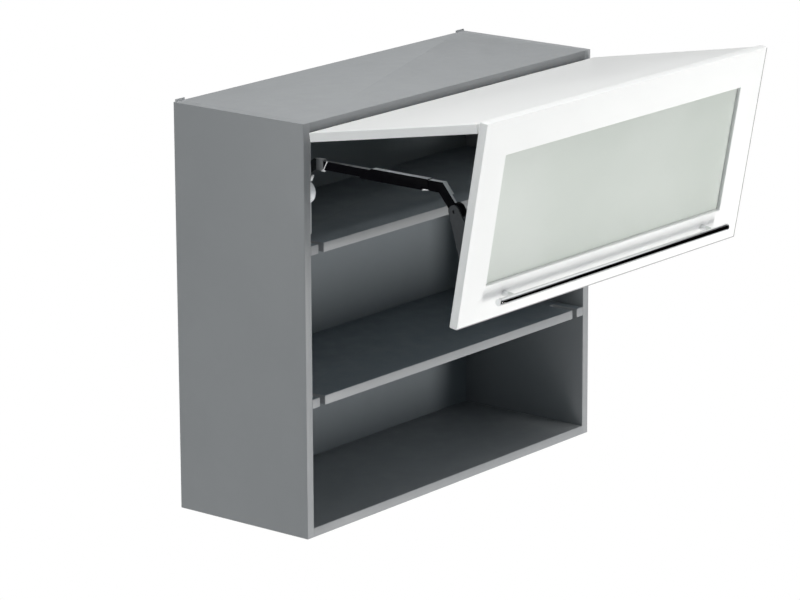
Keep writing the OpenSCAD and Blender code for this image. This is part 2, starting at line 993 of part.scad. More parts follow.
module lift_screws() {
    color([0.75, 0.75, 0.76])
        both()
            for (p = lift_holes) {
                rod_x(-in_x - 12, -in_x + base_t + 0.5, p, 3);
                rod_x(-in_x + base_t, -in_x + base_t + 2, p, 7);
            }
}

pin_x1 = lever_x1 + 1.6;

module pin_solid() {
    rod_x(-in_x + 0.1, -in_x + base_t, lift_axis, lift_pin_d - 2.1);
    rod_x(-in_x + base_t, lever_x1 + 0.3, lift_axis, lift_pin_d);
    rod_x(lever_x1 + 0.3, pin_x1, lift_axis, lift_pin_d + 4);
}

module lift_pins() {
    color([0.7, 0.71, 0.72])
        both()
            pin_solid();
}

// Spring pack that pushes on the lever's shaft, inside the casing
pack_z0 = case_z0 + pack_gap;
pack_z1 = case_z1 - pack_gap;
pack_y = case_y1 - 29;
pack_x0 = case_x0 + 1;
pack_x1 = case_x1 - case_wall - 0.1;
coil_d = pack_x1 - pack_x0 + 0.4;
pack_half = coil_d + 0.2;
cam_x1 = pack_x0 + 8;

module pack_solid() {
    for (k = [-1, 1])
        translate([(pack_x0 + pack_x1) / 2 - 0.3, pack_y + k * (coil_d / 2 + 0.1), pack_z0])
            cylinder(h = pack_z1 - pack_z0, d = coil_d);
    for (z = [pack_z0, pack_z1 - 6])
        board_box(pack_x0, pack_x1, pack_y - pack_half, pack_y + pack_half, z, z + 6);
    board_box(pack_x0, cam_x1, lift_axis[0] + eye_d / 2 - 2, pack_y - 6,
        lift_axis[1] - 6, lift_axis[1] + 6);
    difference() {
        rod_x(pack_x0, cam_x1, lift_axis, eye_d);
        rod_x(pack_x0 - 1, cam_x1 + 1, lift_axis, lift_pin_d + 0.1);
    }
}

module spring_packs() {
    color([0.55, 0.56, 0.57])
        both()
            pack_solid();
}

module casing_outline(grow, x0, x1) {
    board_box(x0, x1, case_y0 - grow, case_y1 + grow, case_z0 - grow, case_z1 + grow);
}

module casing_solid() {
    difference() {
        union() {
            casing_outline(0, case_x0 + 0.05, case_x1);
            rod_x(case_x0 + 0.05, case_x1, dome, 2 * dome_r);
            rod_x(case_x1 - 1, lever_x0 - 0.4, lift_axis, boss_d);
        }
        casing_outline(-case_wall, case_x0 - 1, case_x1 - case_wall);
        rod_x(case_x0 - 1, lever_x1, lift_axis, lift_pin_d + 1);
        for (p = lift_holes)
            rod_x(case_x0 - 1, case_x1 + 1, p, 8);
        rod_x(case_x0 + 4, case_x1 + 1, dome, spigot_d + 0.2);
    }
}

module lift_casing_left() {
    color([0.78, 0.79, 0.8])
        casing_solid();
}

module lift_casing_right() {
    color([0.78, 0.79, 0.8])
        right()
            casing_solid();
}

// Domed cap with a spigot that presses into the casing
dome_ball = (dome_r * dome_r + dome_h * dome_h) / (2 * dome_h);

module cap_solid() {
    translate([case_x1, dome[0], dome[1]])
        rotate([0, 90, 0])
            rotate_extrude() {
                intersection() {
                    translate([0, dome_h - dome_ball])
                        circle(r = dome_ball, $fn = 96);
                    square([dome_r, dome_h + 1]);
                }
                translate([0, -spigot_d / 2])
                    square([spigot_d / 2, spigot_d / 2 + 1]);
            }
}

module lift_cap_left() {
    color([0.88, 0.89, 0.9])
        cap_solid();
}

module lift_cap_right() {
    color([0.88, 0.89, 0.9])
        right()
            cap_solid();
}

// ------------------------------------------------------------ lift, moving

// Rod clipped to the lever, sleeve over it, and the elbow at the front
lever_h = 17;
arm_dir = (root - elbow) / dist(root, elbow);

module lever_solid() {
    difference() {
        union() {
            rod_x(lever_x0, lever_x1, lift_axis, hub_d);
            bent_x(lever_x0, lever_x1, root + [1, 0], knee, lift_axis, lever_h);
            link_x(rod_x0, lever_x1 - 0.2, root, root + 12 * arm_dir, lever_h - 0.6);
        }
        rod_x(lever_x0 - 1, lever_x1 + 1, lift_axis, lift_pin_d + 2 * pin_play);
    }
}

module lift_lever_left() {
    color([0.6, 0.61, 0.62])
        lever_solid();
}

module lift_lever_right() {
    color([0.6, 0.61, 0.62])
        right()
            lever_solid();
}

sleeve_len = 122;
sleeve_p = elbow + 26 * arm_dir;
rod_x0 = arm_mx - rod_w / 2;
rod_x1 = arm_mx + rod_w / 2;
rod_end = sleeve_p + 34 * arm_dir;

module rod_solid() {
    link_x(rod_x0, rod_x1, rod_end, root, rod_h);
}

module arm_rod_left() {
    color([0.05, 0.05, 0.06])
        rod_solid();
}

module arm_rod_right() {
    color([0.05, 0.05, 0.06])
        right()
            rod_solid();
}

module sleeve_solid() {
    lean = atan2(root[1] - elbow[1], root[0] - elbow[0]);
    difference() {
        translate([arm_x0, sleeve_p[0], sleeve_p[1]])
            rotate([lean, 0, 0])
                plate_x(0, sleeve_w, [[0, -sleeve_h / 2], [sleeve_len + 16, -sleeve_h / 2],
                    [sleeve_len + 22, -rod_h / 2 - 0.6], [sleeve_len, rod_h / 2 + 0.6],
                    [sleeve_len - 4, sleeve_h / 2], [0, sleeve_h / 2]]);
        translate([rod_x0 - 0.3, sleeve_p[0] - 1, sleeve_p[1]])
            rotate([lean, 0, 0])
                translate([0, 0, -rod_h / 2 - 0.3])
                    cube([rod_w + 0.6, sleeve_len + 40, rod_h + 0.6]);
    }
}

module arm_sleeve_left() {
    color([0.04, 0.04, 0.05])
        sleeve_solid();
}

module arm_sleeve_right() {
    color([0.04, 0.04, 0.05])
        right()
            sleeve_solid();
}

elbow_h = 18;

module elbow_solid() {
    p = pivot_open;
    difference() {
        union() {
            link_x(rod_x0, rod_x1, sleeve_p - 4 * arm_dir, sleeve_p + 30 * arm_dir, rod_h);
            bent_x(rod_x0 - 0.6, rod_x1 + 0.6, p, elbow, sleeve_p - arm_dir, elbow_h);
            rod_x(arm_x0, arm_x1, p, eye_d);
        }
        rod_x(arm_x0 + 3, arm_x1 + 1, p, 12);
        rod_x(arm_x0 - 1, arm_x1, p, 6.1);
    }
}

module arm_elbow_left() {
    color([0.05, 0.05, 0.06])
        elbow_solid();
}

module arm_elbow_right() {
    color([0.05, 0.05, 0.06])
        right()
            elbow_solid();
}

// Rivet in the elbow's eye, flush with the face at the bracket
module rivet_solid() {
    rod_x(arm_x0, arm_x0 + 3.2, pivot_open, 6);
    rod_x(arm_x0 + 3.2, arm_x0 + 6, pivot_open, 10.5);
}

module arm_rivet_left() {
    color([0.35, 0.36, 0.37])
        rivet_solid();
}

module arm_rivet_right() {
    color([0.35, 0.36, 0.37])
        right()
            rivet_solid();
}

// Bright wire clip that locks the rod on the lever
clip_d = 1.6;
clip_x = arm_x0 + 0.7;

module wire(p, q) {
    translate([clip_x, p[0], p[1]])
        rotate([atan2(q[1] - p[1], q[0] - p[0]) - 90, 0, 0])
            cylinder(h = dist(p, q), d = clip_d, $fn = 24);
}

module clip_solid() {
    a = [root[0] - 10, root[1] + 9.4];
    b = [root[0] + 1, root[1] - 10];
    c = [root[0] - 7, root[1] - 10];
    wire(a, b);
    wire(c, b);
    rod_x(clip_x, clip_x + rod_w + 1.5, a, clip_d);
    translate([clip_x, b[0], b[1]])
        sphere(d = clip_d, $fn = 24);
}

module arm_clip_left() {
    color([0.9, 0.9, 0.91])
        clip_solid();
}

module arm_clip_right() {
    color([0.9, 0.9, 0.91])
        right()
            clip_solid();
}

side_panel_left();
side_panel_right();
top_panel();
bottom_panel();
upper_shelf();
lower_shelf();
back_panel();
side_edge_bands();
panel_edge_bands();
shelf_edge_bands();
shelf_pins();
corner_dowels();
cam_bolts();
cam_locks();
hanging_plate_left();
hanging_plate_right();
hanging_screws();
top_hinge_plates();
top_hinge_arms();
top_hinge_screws();
lift_base_left();
lift_base_right();
lift_screws();
lift_pins();
spring_packs();
lift_casing_left();
lift_casing_right();
lift_cap_left();
lift_cap_right();
lift_lever_left();
arm_rod_left();
arm_sleeve_left();
arm_elbow_left();
arm_rivet_left();
arm_clip_left();
lift_lever_right();
arm_rod_right();
arm_sleeve_right();
arm_elbow_right();
arm_rivet_right();
arm_clip_right();
upper_front();
top_hinge_cups();
top_cup_screws();
fold_hinge_arms();
fold_arm_screws();
lower_frame();
glass_pane();
bead_rails();
bead_stiles();
fold_hinge_cups();
fold_cup_screws();
door_bumpers();
handle_bar();
handle_posts();
handle_screws();
door_bracket_left();
door_bracket_right();
bracket_screws();
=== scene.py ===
"""A wall cabinet with a two-piece lift up front, shown open. Lengths are in metres."""
import json
import math

import bpy
from mathutils import Matrix, Vector


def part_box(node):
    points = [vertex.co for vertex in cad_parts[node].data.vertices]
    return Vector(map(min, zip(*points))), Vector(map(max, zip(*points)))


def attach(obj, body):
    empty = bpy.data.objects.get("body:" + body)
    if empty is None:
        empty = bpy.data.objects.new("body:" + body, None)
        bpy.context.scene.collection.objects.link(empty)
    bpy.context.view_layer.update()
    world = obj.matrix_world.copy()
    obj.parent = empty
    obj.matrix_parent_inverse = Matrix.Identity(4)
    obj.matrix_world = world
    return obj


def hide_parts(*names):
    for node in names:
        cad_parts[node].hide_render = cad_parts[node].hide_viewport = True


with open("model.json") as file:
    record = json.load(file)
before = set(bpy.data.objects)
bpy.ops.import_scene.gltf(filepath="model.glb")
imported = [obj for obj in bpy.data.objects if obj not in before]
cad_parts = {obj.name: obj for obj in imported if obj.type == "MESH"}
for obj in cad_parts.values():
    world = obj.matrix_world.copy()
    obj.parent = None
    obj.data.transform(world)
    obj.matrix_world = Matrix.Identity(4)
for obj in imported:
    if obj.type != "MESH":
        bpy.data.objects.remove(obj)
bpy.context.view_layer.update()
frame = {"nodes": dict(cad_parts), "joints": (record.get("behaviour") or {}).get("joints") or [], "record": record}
nodes = frame["nodes"]

MM = 0.001
LEFT = -1
RIGHT = 1
BOTH = (LEFT, RIGHT)

# ------------------------------------------------------------------ sizes
# X runs to the right, the cabinet's back is at Y = 0 and its front faces -Y, Z runs up.

side_low, side_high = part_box("side_panel_left")
band_low, band_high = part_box("side_edge_bands")
HALF_WIDTH = -side_low.x
BOARD = side_high.x - side_low.x
INNER_X = HALF_WIDTH - BOARD
HEIGHT = side_high.z
CARCASS_FRONT = band_low.y
BAND = 1 * MM

joints = {joint["name"]: joint for joint in frame["joints"]}
ratios = {c["joint"]: c["ratio"] for c in frame["record"]["behaviour"]["couplings"]}
OPEN_ANGLE = 100.0
TOP_AXIS = Vector(joints["upper_front"]["pos_m"])
FOLD_OPEN = Vector(joints["lower_front"]["pos_m"])
LOWER_LEAN = -ratios["lower_front"] * OPEN_ANGLE - OPEN_ANGLE
ARM_AXIS = Vector(joints["lift_arm_left"]["pos_m"])

# the fronts' places when they are closed
FRONT_T = 16 * MM
STANDOFF = 2 * MM
INNER_Y = CARCASS_FRONT - STANDOFF
OUTER_Y = INNER_Y - FRONT_T
FRONT_W = 2 * HALF_WIDTH - 3 * MM
FRONT_H = 355 * MM
UPPER_TOP = HEIGHT - 3.5 * MM
UPPER_BOTTOM = UPPER_TOP - FRONT_H
LOWER_TOP = UPPER_BOTTOM - 3 * MM
LOWER_BOTTOM = LOWER_TOP - FRONT_H
FOLD_AXIS = Vector((0, INNER_Y - 8 * MM, LOWER_TOP - 9.1 * MM))

# the radius of eased edges, and how far a cutting tool stands out past the face it cuts
BOARD_EDGE = 0.4 * MM
BAND_EDGE = 0.45 * MM
TOOL_OVER = 5 * MM


# ---------------------------------------------------------------- modelling


def deselect():
    """Nothing stays selected, so the next operator meets only the new piece."""
    if bpy.context.object and bpy.context.object.mode != "OBJECT":
        bpy.ops.object.mode_set(mode="OBJECT")
    bpy.ops.object.select_all(action="DESELECT")


def pick(piece):
    deselect()
    piece.select_set(True)
    bpy.context.view_layer.objects.active = piece


def settle(piece, name):
    """The piece's place goes into its mesh, and its object to the origin."""
    pick(piece)
    bpy.ops.object.transform_apply(location=True, rotation=True, scale=True)
    piece.name = name
    piece.data.name = name
    return piece


def smooth(piece, angle=35):
    """Smooth shading over edges that turn less than the angle."""
    pick(piece)
    bpy.ops.object.shade_smooth_by_angle(angle=math.radians(angle))
    return piece


def soften(piece, radius, segments=2, angle=40):
    """Rounds the edges that turn more than the angle."""
    pick(piece)
    bevel = piece.modifiers.new("edges", "BEVEL")
    bevel.width = radius
    bevel.segments = segments
    bevel.limit_method = "ANGLE"
    bevel.angle_limit = math.radians(angle)
    bpy.ops.object.modifier_apply(modifier=bevel.name)
    return smooth(piece)


def cube(name, low, high):
    """A block from its lowest to its highest corner."""
    deselect()
    low, high = Vector(low), Vector(high)
    bpy.ops.mesh.primitive_cube_add(size=1, location=(low + high) / 2, scale=high - low)
    return settle(bpy.context.object, name)


def board(name, low, high, radius=0.5 * MM, segments=2):
    """A flat board with its edges eased."""
    return soften(cube(name, low, high), radius, segments, angle=60)


def combine(piece, operation, tools):
    """One boolean after the other; the tools are gone afterwards."""
    for tool in tools:
        pick(piece)
        boolean = piece.modifiers.new("combine", "BOOLEAN")
        boolean.operation = operation
        boolean.solver = "EXACT"
        boolean.object = tool
        bpy.ops.object.modifier_apply(modifier=boolean.name)
        bpy.data.objects.remove(tool)
    return piece


def cut(piece, *tools):
    """Takes the tools' space out of the piece."""
    return combine(piece, "DIFFERENCE", tools)


def fuse(piece, *tools):
    """Grows the piece by the tools."""
    return combine(piece, "UNION", tools)


def join(name, *parts):
    """Several solids that make one piece."""
    deselect()
    for part in parts:
        part.select_set(True)
    bpy.context.view_layer.objects.active = parts[0]
    if len(parts) > 1:
        bpy.ops.object.join()
    return settle(bpy.context.object, name)


def rod(name, start, end, radius, sides=48):
    """A round bar from start to end."""
    deselect()
    start, end = Vector(start), Vector(end)
    run = end - start
    bpy.ops.mesh.primitive_cylinder_add(
        vertices=sides, radius=radius, depth=run.length, location=(start + end) / 2
    )
    piece = bpy.context.object
    piece.rotation_mode = "QUATERNION"
    piece.rotation_quaternion = run.to_track_quat("Z", "Y")
    return settle(piece, name)


def plate(name, outline, x0, x1):
    """A plate between x0 and x1 with its outline given in Y and Z."""
    deselect()
    bpy.ops.mesh.primitive_circle_add(vertices=len(outline), radius=1, fill_type="NGON")
    piece = bpy.context.object
    for vertex, (y, z) in zip(piece.data.vertices, outline):
        vertex.co = (x0, y, z)
    bpy.ops.object.mode_set(mode="EDIT")
    bpy.ops.mesh.select_all(action="SELECT")
    bpy.ops.mesh.extrude_region_move(TRANSFORM_OT_translate={"value": (x1 - x0, 0, 0)})
    bpy.ops.mesh.select_all(action="SELECT")
    bpy.ops.mesh.normals_make_consistent(inside=False)
    bpy.ops.object.mode_set(mode="OBJECT")
    return settle(piece, name)


def turned(name, profile, centre, steps=64):
    """A round piece about the X axis through the centre; the profile is (x, radius)."""
    deselect()
    bpy.ops.mesh.primitive_circle_add(vertices=len(profile), radius=1, fill_type="NOTHING")
    piece = bpy.context.object
    centre = Vector(centre)
    for vertex, (x, radius) in zip(piece.data.vertices, profile):
        vertex.co = (x, centre.y, centre.z + radius)
    bpy.ops.object.mode_set(mode="EDIT")
    bpy.ops.mesh.select_all(action="SELECT")
    bpy.ops.mesh.spin(
        steps=steps, angle=2 * math.pi, center=(0, centre.y, centre.z), axis=(1, 0, 0)
    )
    bpy.ops.mesh.select_all(action="SELECT")
    bpy.ops.mesh.remove_doubles(threshold=0.00001)
    bpy.ops.mesh.normals_make_consistent(inside=False)
    bpy.ops.object.mode_set(mode="OBJECT")
    return smooth(settle(piece, name))


def arc(centre, radius, start, end, steps=8):
    """Points round a centre, from one angle to another, in degrees."""
    return [
        (
            centre[0] + radius * math.cos(math.radians(start + (end - start) * i / steps)),
            centre[1] + radius * math.sin(math.radians(start + (end - start) * i / steps)),
        )
        for i in range(steps + 1)
    ]


def round_rectangle(y0, y1, z0, z1, corner, radius):
    """A rectangle with round corners; a radius below the corner's gives one that lies inside."""
    corners = (
        (y0 + corner, z0 + corner, 180), (y1 - corner, z0 + corner, 270),
        (y1 - corner, z1 - corner, 0), (y0 + corner, z1 - corner, 90),
    )
    return [point for y, z, start in corners for point in arc((y, z), radius, start, start + 90, 5)]


def along(a, b, distance):
    """The point that lies that far from a towards b."""
    run = math.dist(a, b)
    return (a[0] + (b[0] - a[0]) * distance / run, a[1] + (b[1] - a[1]) * distance / run)


def bar_outline(points, half):
    """The outline of a bent flat bar through the points, with mitred corners."""
    upper_side, lower_side = [], []
    for i, point in enumerate(points):
        before = points[max(i - 1, 0)]
        after = points[min(i + 1, len(points) - 1)]
        if i == 0:
            before = (2 * point[0] - after[0], 2 * point[1] - after[1])
        if i == len(points) - 1:
            after = (2 * point[0] - before[0], 2 * point[1] - before[1])
        u = Vector((point[0] - before[0], point[1] - before[1])).normalized()
        v = Vector((after[0] - point[0], after[1] - point[1])).normalized()
        normal = Vector((-u.y - v.y, u.x + v.x)) / (1 + u.dot(v))
        upper_side.append((point[0] + normal.x * half, point[1] + normal.y * half))
        lower_side.append((point[0] - normal.x * half, point[1] - normal.y * half))
    return lower_side + upper_side[::-1]


def span(side, near, far):
    """The X values of a stretch on one side of the middle, the lower one first."""
    return sorted((side * near, side * far))


def turn_about_x(piece, angle, centre):
    """Turns the mesh about a line along X; a positive angle takes +Y towards +Z."""
    spin = Matrix.Rotation(math.radians(angle), 4, "X")
    place = Matrix.Translation(centre)
    piece.data.transform(place @ spin @ place.inverted())
    piece.data.update()
    return piece


def open_upper(piece):
    """From the closed place to the open one, with the upper front."""
    return turn_about_x(piece, -OPEN_ANGLE, TOP_AXIS)


def open_lower(piece):
    """From the closed place to the open one, with the lower front."""
    turn_about_x(piece, LOWER_LEAN, FOLD_AXIS)
    carried = FOLD_OPEN - FOLD_AXIS
    piece.data.transform(Matrix.Translation((0, carried.y, carried.z)))
    return piece


def mirrored(piece, name):
    """A copy for the right side, with its own mesh."""
    twin = piece.copy()
    twin.data = piece.data.copy()
    bpy.context.scene.collection.objects.link(twin)
    pick(twin)
    twin.data.transform(Matrix.Scale(-1, 4, (1, 0, 0)))
    twin.data.flip_normals()
    twin.name = name
    twin.data.name = name
    return twin


def dress(piece, material, body, slot, *stands_for):
    """Gives a piece its finish, its body and the nodes that it stands for."""
    piece.data.materials.clear()
    piece.data.materials.append(material)
    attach(piece, body)
    if stands_for:
        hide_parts(*stands_for)
    return piece


def pair(piece, material, body, slot, stem):
    """Dresses a left piece and its right twin, each for its own node."""
    twin = mirrored(piece, stem + "_right_trim")
    piece.name = stem + "_left_trim"
    for part, hand in ((piece, "_left"), (twin, "_right")):
        dress(part, material, body + hand if body == "lift_arm" else body, slot, stem + hand)
    return piece, twin


def add_finish(piece, material, takes_face):
    """One more finish, for the faces that takes_face picks."""
    piece.data.materials.append(material)
    for face in piece.data.polygons:
        if takes_face(face):
            face.material_index = len(piece.data.materials) - 1


# ---------------------------------------------------------------- materials


def new_material(name):
    material = bpy.data.materials.new(name)
    material.use_nodes = True
    tree = material.node_tree
    return material, tree, tree.nodes["Principled BSDF"]


def add(tree, kind, **values):
    """A node with its sockets and settings given by name."""
    node = tree.nodes.new(kind)
    for key, value in values.items():
        if key in node.inputs:
            node.inputs[key].default_value = value
        else:
            setattr(node, key, value)
    return node


def object_place(tree, scale=(1, 1, 1)):
    place = add(tree, "ShaderNodeTexCoord")
    mapping = add(tree, "ShaderNodeMapping", Scale=scale)
    tree.links.new(place.outputs["Object"], mapping.inputs["Vector"])
    return mapping.outputs["Vector"]


def noise(tree, vector, size, detail=4.0):
    """Noise whose blobs are about the size given."""
    node = add(tree, "ShaderNodeTexNoise", Scale=1 / size, Detail=detail, Roughness=0.55)
    tree.links.new(vector, node.inputs["Vector"])
    return node.outputs["Fac"]


def ramp(tree, source, low, high, start=0.35, end=0.65):
    """Maps a source to colours or grey values between two stops."""
    node = add(tree, "ShaderNodeValToRGB")
    node.color_ramp.elements[0].position = start
    node.color_ramp.elements[1].position = end
    for stop, value in zip(node.color_ramp.elements, (low, high)):
        stop.color = (*value, 1) if isinstance(value, tuple) else (value, value, value, 1)
    tree.links.new(source, node.inputs["Fac"])
    return node.outputs["Color"]


def map_range(tree, source, low, high, to_low, to_high):
    limits = {"From Min": low, "From Max": high, "To Min": to_low, "To Max": to_high}
    node = add(tree, "ShaderNodeMapRange", **limits)
    tree.links.new(source, node.inputs["Value"])
    return node.outputs["Result"]


def mix_shaders(tree, share, first, second):
    node = add(tree, "ShaderNodeMixShader")
    tree.links.new(share, node.inputs["Fac"])
    tree.links.new(first, node.inputs[1])
    tree.links.new(second, node.inputs[2])
    return node.outputs["Shader"]


def bump(tree, height, strength, distance):
    node = add(tree, "ShaderNodeBump", Strength=strength, Distance=distance)
    tree.links.new(height, node.inputs["Height"])
    return node.outputs["Normal"]


def tint(colour, share):
    return tuple(min(1.0, c * share) for c in colour)


def finish(name, colour, roughness, spread=0.05, patch=40 * MM, grain=1.2 * MM, depth=0.03 * MM,
           metallic=0.0, specular=0.5, stretch=(1, 1, 1), rough_spread=0.08):
    """A surface with a soft change of tone, an uneven gloss and a fine relief."""
    material, tree, shader = new_material(name)
    shader.inputs["Metallic"].default_value = metallic
    shader.inputs["Specular IOR Level"].default_value = specular
    where = object_place(tree, stretch)
    tone = ramp(tree, noise(tree, where, patch), tint(colour, 1 - spread), tint(colour, 1 + spread))
    tree.links.new(tone, shader.inputs["Base Color"])
    fine = noise(tree, where, grain, detail=3.0)
    gloss = ramp(tree, noise(tree, where, patch / 3), roughness - rough_spread, roughness + rough_spread)
    tree.links.new(gloss, shader.inputs["Roughness"])
    tree.links.new(bump(tree, fine, 0.35, depth), shader.inputs["Normal"])
    return material


def shade_along_y(material, y_dark, y_full, share):
    """Painted shade: the finish's colour sinks to a share of itself towards y_dark."""
    tree = material.node_tree
    shader = tree.nodes["Principled BSDF"]
    colour = shader.inputs["Base Color"].links[0].from_socket
    place = add(tree, "ShaderNodeTexCoord")
    split = add(tree, "ShaderNodeSeparateXYZ")
    tree.links.new(place.outputs["Object"], split.inputs["Vector"])
    strength = map_range(tree, split.outputs["Y"], y_dark, y_full, share, 1.0)
    scale = add(tree, "ShaderNodeVectorMath", operation="SCALE")
    tree.links.new(colour, scale.inputs[0])
    tree.links.new(strength, scale.inputs["Scale"])
    tree.links.new(scale.outputs["Vector"], shader.inputs["Base Color"])


# boards
melamine = finish("grey_melamine", (0.272, 0.280, 0.286), 0.55, spread=0.012, patch=120 * MM,
                  grain=0.9 * MM, specular=0.25)
# painted shade: the back board is coloured darker than the outer boards to stand in for the shade inside the
# cabinet
back_painted_shade = finish("back_board_painted_shade", (0.184, 0.204, 0.217), 0.6, spread=0.015, patch=150 * MM,
                      grain=1.5 * MM, specular=0.2)
# painted shade: the shelves are coloured darker and bluer than the outer boards to stand in for the shade inside
# the cabinet
shelf_painted_shade = finish("shelf_painted_shade", (0.200, 0.226, 0.246), 0.55, spread=0.012, patch=120 * MM,
                        grain=0.9 * MM, specular=0.2)
edge_band = finish("grey_edge_band", (0.272, 0.279, 0.285), 0.5, spread=0.015, patch=60 * MM, grain=1 * MM,
                   specular=0.3, stretch=(0.3, 1, 0.3))
beech = finish("beech_dowel", (0.55, 0.38, 0.22), 0.6, spread=0.12, patch=3 * MM, grain=0.5 * MM,
               depth=0.05 * MM, stretch=(0.15, 1, 1))

# fronts
white_lacquer = finish("white_lacquer", (0.80, 0.80, 0.79), 0.32, spread=0.004, patch=400 * MM,
                       grain=2.5 * MM, depth=0.003 * MM, specular=0.22, rough_spread=0.012)
# painted shade: a dark grey that only the lower front's right and bottom edges get, standing in for the shade of
# the edges turning away
front_edge_shade = finish("front_edge_painted_shade", (0.27, 0.27, 0.27), 0.4, spread=0.03, patch=40 * MM, grain=1 * MM,
                    specular=0.2, rough_spread=0.02)
glass_strip = finish("white_glass_strip", (0.78, 0.78, 0.77), 0.45, spread=0.015, patch=50 * MM)
chrome = finish("polished_chrome", (0.76, 0.77, 0.78), 0.05, spread=0.01, patch=30 * MM, grain=2 * MM,
                depth=0.001 * MM, metallic=1.0, rough_spread=0.02)
clear_dot = finish("clear_soft_dot", (0.72, 0.74, 0.76), 0.3, spread=0.03, patch=3 * MM, grain=0.6 * MM)

# arms and brackets
black_paint = finish("black_arm_paint", (0.003, 0.003, 0.004), 0.5, spread=0.2, patch=15 * MM,
                     grain=0.6 * MM, depth=0.01 * MM, specular=0.02)
# painted highlight: a pale colour that only the arms' upward faces get, standing in for light from above on the
# black arm
arm_top_highlight = finish("arm_top_painted_highlight", (0.62, 0.64, 0.66), 0.4, spread=0.04, patch=12 * MM, grain=0.6 * MM,
                   depth=0.01 * MM, stretch=(1, 0.2, 1))
# painted highlight: a grey that only the rods' upward faces get, standing in for light from above on the black rod
rod_top_highlight = finish("rod_top_painted_highlight", (0.30, 0.31, 0.33), 0.45, spread=0.05, patch=12 * MM, grain=0.6 * MM,
                   depth=0.01 * MM, stretch=(1, 0.2, 1))
# painted shade: the rods' pale tops darken towards the carcass front
shade_along_y(rod_top_highlight, CARCASS_FRONT - 10 * MM, CARCASS_FRONT - 130 * MM, 0.15)
tip_zinc = finish("liner_tip_zinc", (0.80, 0.81, 0.82), 0.22, spread=0.03, patch=4 * MM, grain=0.5 * MM,
                  depth=0.01 * MM, metallic=0.9)
bracket_paint = finish("dark_bracket_coat", (0.036, 0.040, 0.044), 0.5, spread=0.08, patch=12 * MM,
                       grain=0.5 * MM, depth=0.02 * MM, specular=0.3)
wire_steel = finish("bright_wire", (0.90, 0.90, 0.90), 0.25, spread=0.02, patch=4 * MM, grain=0.4 * MM,
                    depth=0.01 * MM, metallic=0.2)

# lifts, hinges and small hardware
lever_dark = finish("dark_lever_steel", (0.035, 0.038, 0.041), 0.5, spread=0.1, patch=10 * MM,
                    grain=0.7 * MM, specular=0.2, stretch=(1, 0.3, 1))
lever_zinc = finish("lever_zinc", (0.20, 0.205, 0.21), 0.5, spread=0.04, patch=10 * MM, grain=0.7 * MM,
                    metallic=0.1, stretch=(1, 0.3, 1))
casing_paint = finish("silver_casing", (0.50, 0.51, 0.52), 0.42, spread=0.04, patch=25 * MM,
                      grain=0.6 * MM, metallic=0.2)
cap_satin = finish("satin_cap", (0.86, 0.87, 0.88), 0.3, spread=0.015, patch=18 * MM, grain=0.8 * MM,
                   depth=0.005 * MM, specular=0.5)
zinc = finish("bright_zinc", (0.62, 0.63, 0.64), 0.32, spread=0.08, patch=6 * MM, grain=0.5 * MM,
              depth=0.02 * MM, metallic=0.5)
nickel = finish("nickel_plate", (0.60, 0.59, 0.57), 0.28, spread=0.05, patch=10 * MM, grain=0.5 * MM,
                depth=0.01 * MM, metallic=0.5)


def frosted_glass():
    """Satin glass: pale green grey, milky, with a faint broad change of tone."""
    material, tree, shader = new_material("frosted_glass")
    where = object_place(tree)
    clouds = noise(tree, where, 220 * MM, detail=2.0)
    tone = ramp(tree, clouds, (0.605, 0.645, 0.600), (0.645, 0.680, 0.640))
    tree.links.new(tone, shader.inputs["Base Color"])
    shader.inputs["Roughness"].default_value = 0.5
    shader.inputs["Specular IOR Level"].default_value = 0.5
    shader.inputs["IOR"].default_value = 1.5
    shader.inputs["Transmission Weight"].default_value = 0.25
    grit = noise(tree, where, 0.5 * MM, detail=2.0)
    tree.links.new(bump(tree, grit, 0.25, 0.02 * MM), shader.inputs["Normal"])
    return material


satin_glass = frosted_glass()

# nodes that keep their own shape and only get a finish
plain_finishes = {
    back_painted_shade: ["back_panel"],
    zinc: ["shelf_pins", "cam_bolts", "cam_locks", "hanging_screws", "top_hinge_screws", "lift_screws",
           "lift_pins", "top_cup_screws", "fold_arm_screws", "fold_cup_screws", "handle_screws",
           "hanging_plate_left", "hanging_plate_right"],
    beech: ["corner_dowels"],
    nickel: ["top_hinge_plates", "top_hinge_arms", "top_hinge_cups", "fold_hinge_arms",
             "fold_hinge_cups"],
    lever_zinc: ["lift_base_left", "lift_base_right", "spring_packs"],
    bracket_paint: ["bracket_screws", "arm_rivet_left", "arm_rivet_right"],
    clear_dot: ["door_bumpers"],
}
for plain_material, names in plain_finishes.items():
    for name in names:
        nodes[name].data.materials.clear()
        nodes[name].data.materials.append(plain_material)

# ------------------------------------------------------------------ carcass

plate_low, plate_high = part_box("hanging_plate_left")
lock_low, lock_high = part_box("cam_locks")
POCKET_PLAY = 0.2 * MM
LOCK_R = 7.5 * MM
LOCK_PLAY = 0.05 * MM
LOCK_X = lock_high.x - LOCK_R
LOCK_DEPTH = lock_high.z - (HEIGHT - BOARD)


def plate_pockets(*sides):
    """Room for the hanging plates in the boards' rear faces."""
    low_y = plate_low.y - 0.1 * MM
    low_z = plate_low.z - POCKET_PLAY
    tools = []
    for side in sides:
        x0, x1 = span(side, POCKET_PLAY - plate_low.x, -POCKET_PLAY - plate_high.x)
        tools.append(cube("pocket_tool", (x0, low_y, low_z), (x1, MM, HEIGHT + MM)))
    return tools


def lock_pockets(face_z):
    """Room for the four cam locks, upwards from a panel's lower face."""
    low_z, high_z = face_z - MM, face_z + LOCK_DEPTH + LOCK_PLAY
    return [
        rod("lock_tool", (side * LOCK_X, y, low_z), (side * LOCK_X, y, high_z), LOCK_R + LOCK_PLAY)
        for side in BOTH
        for y in (lock_low.y + LOCK_R, lock_high.y - LOCK_R)
    ]


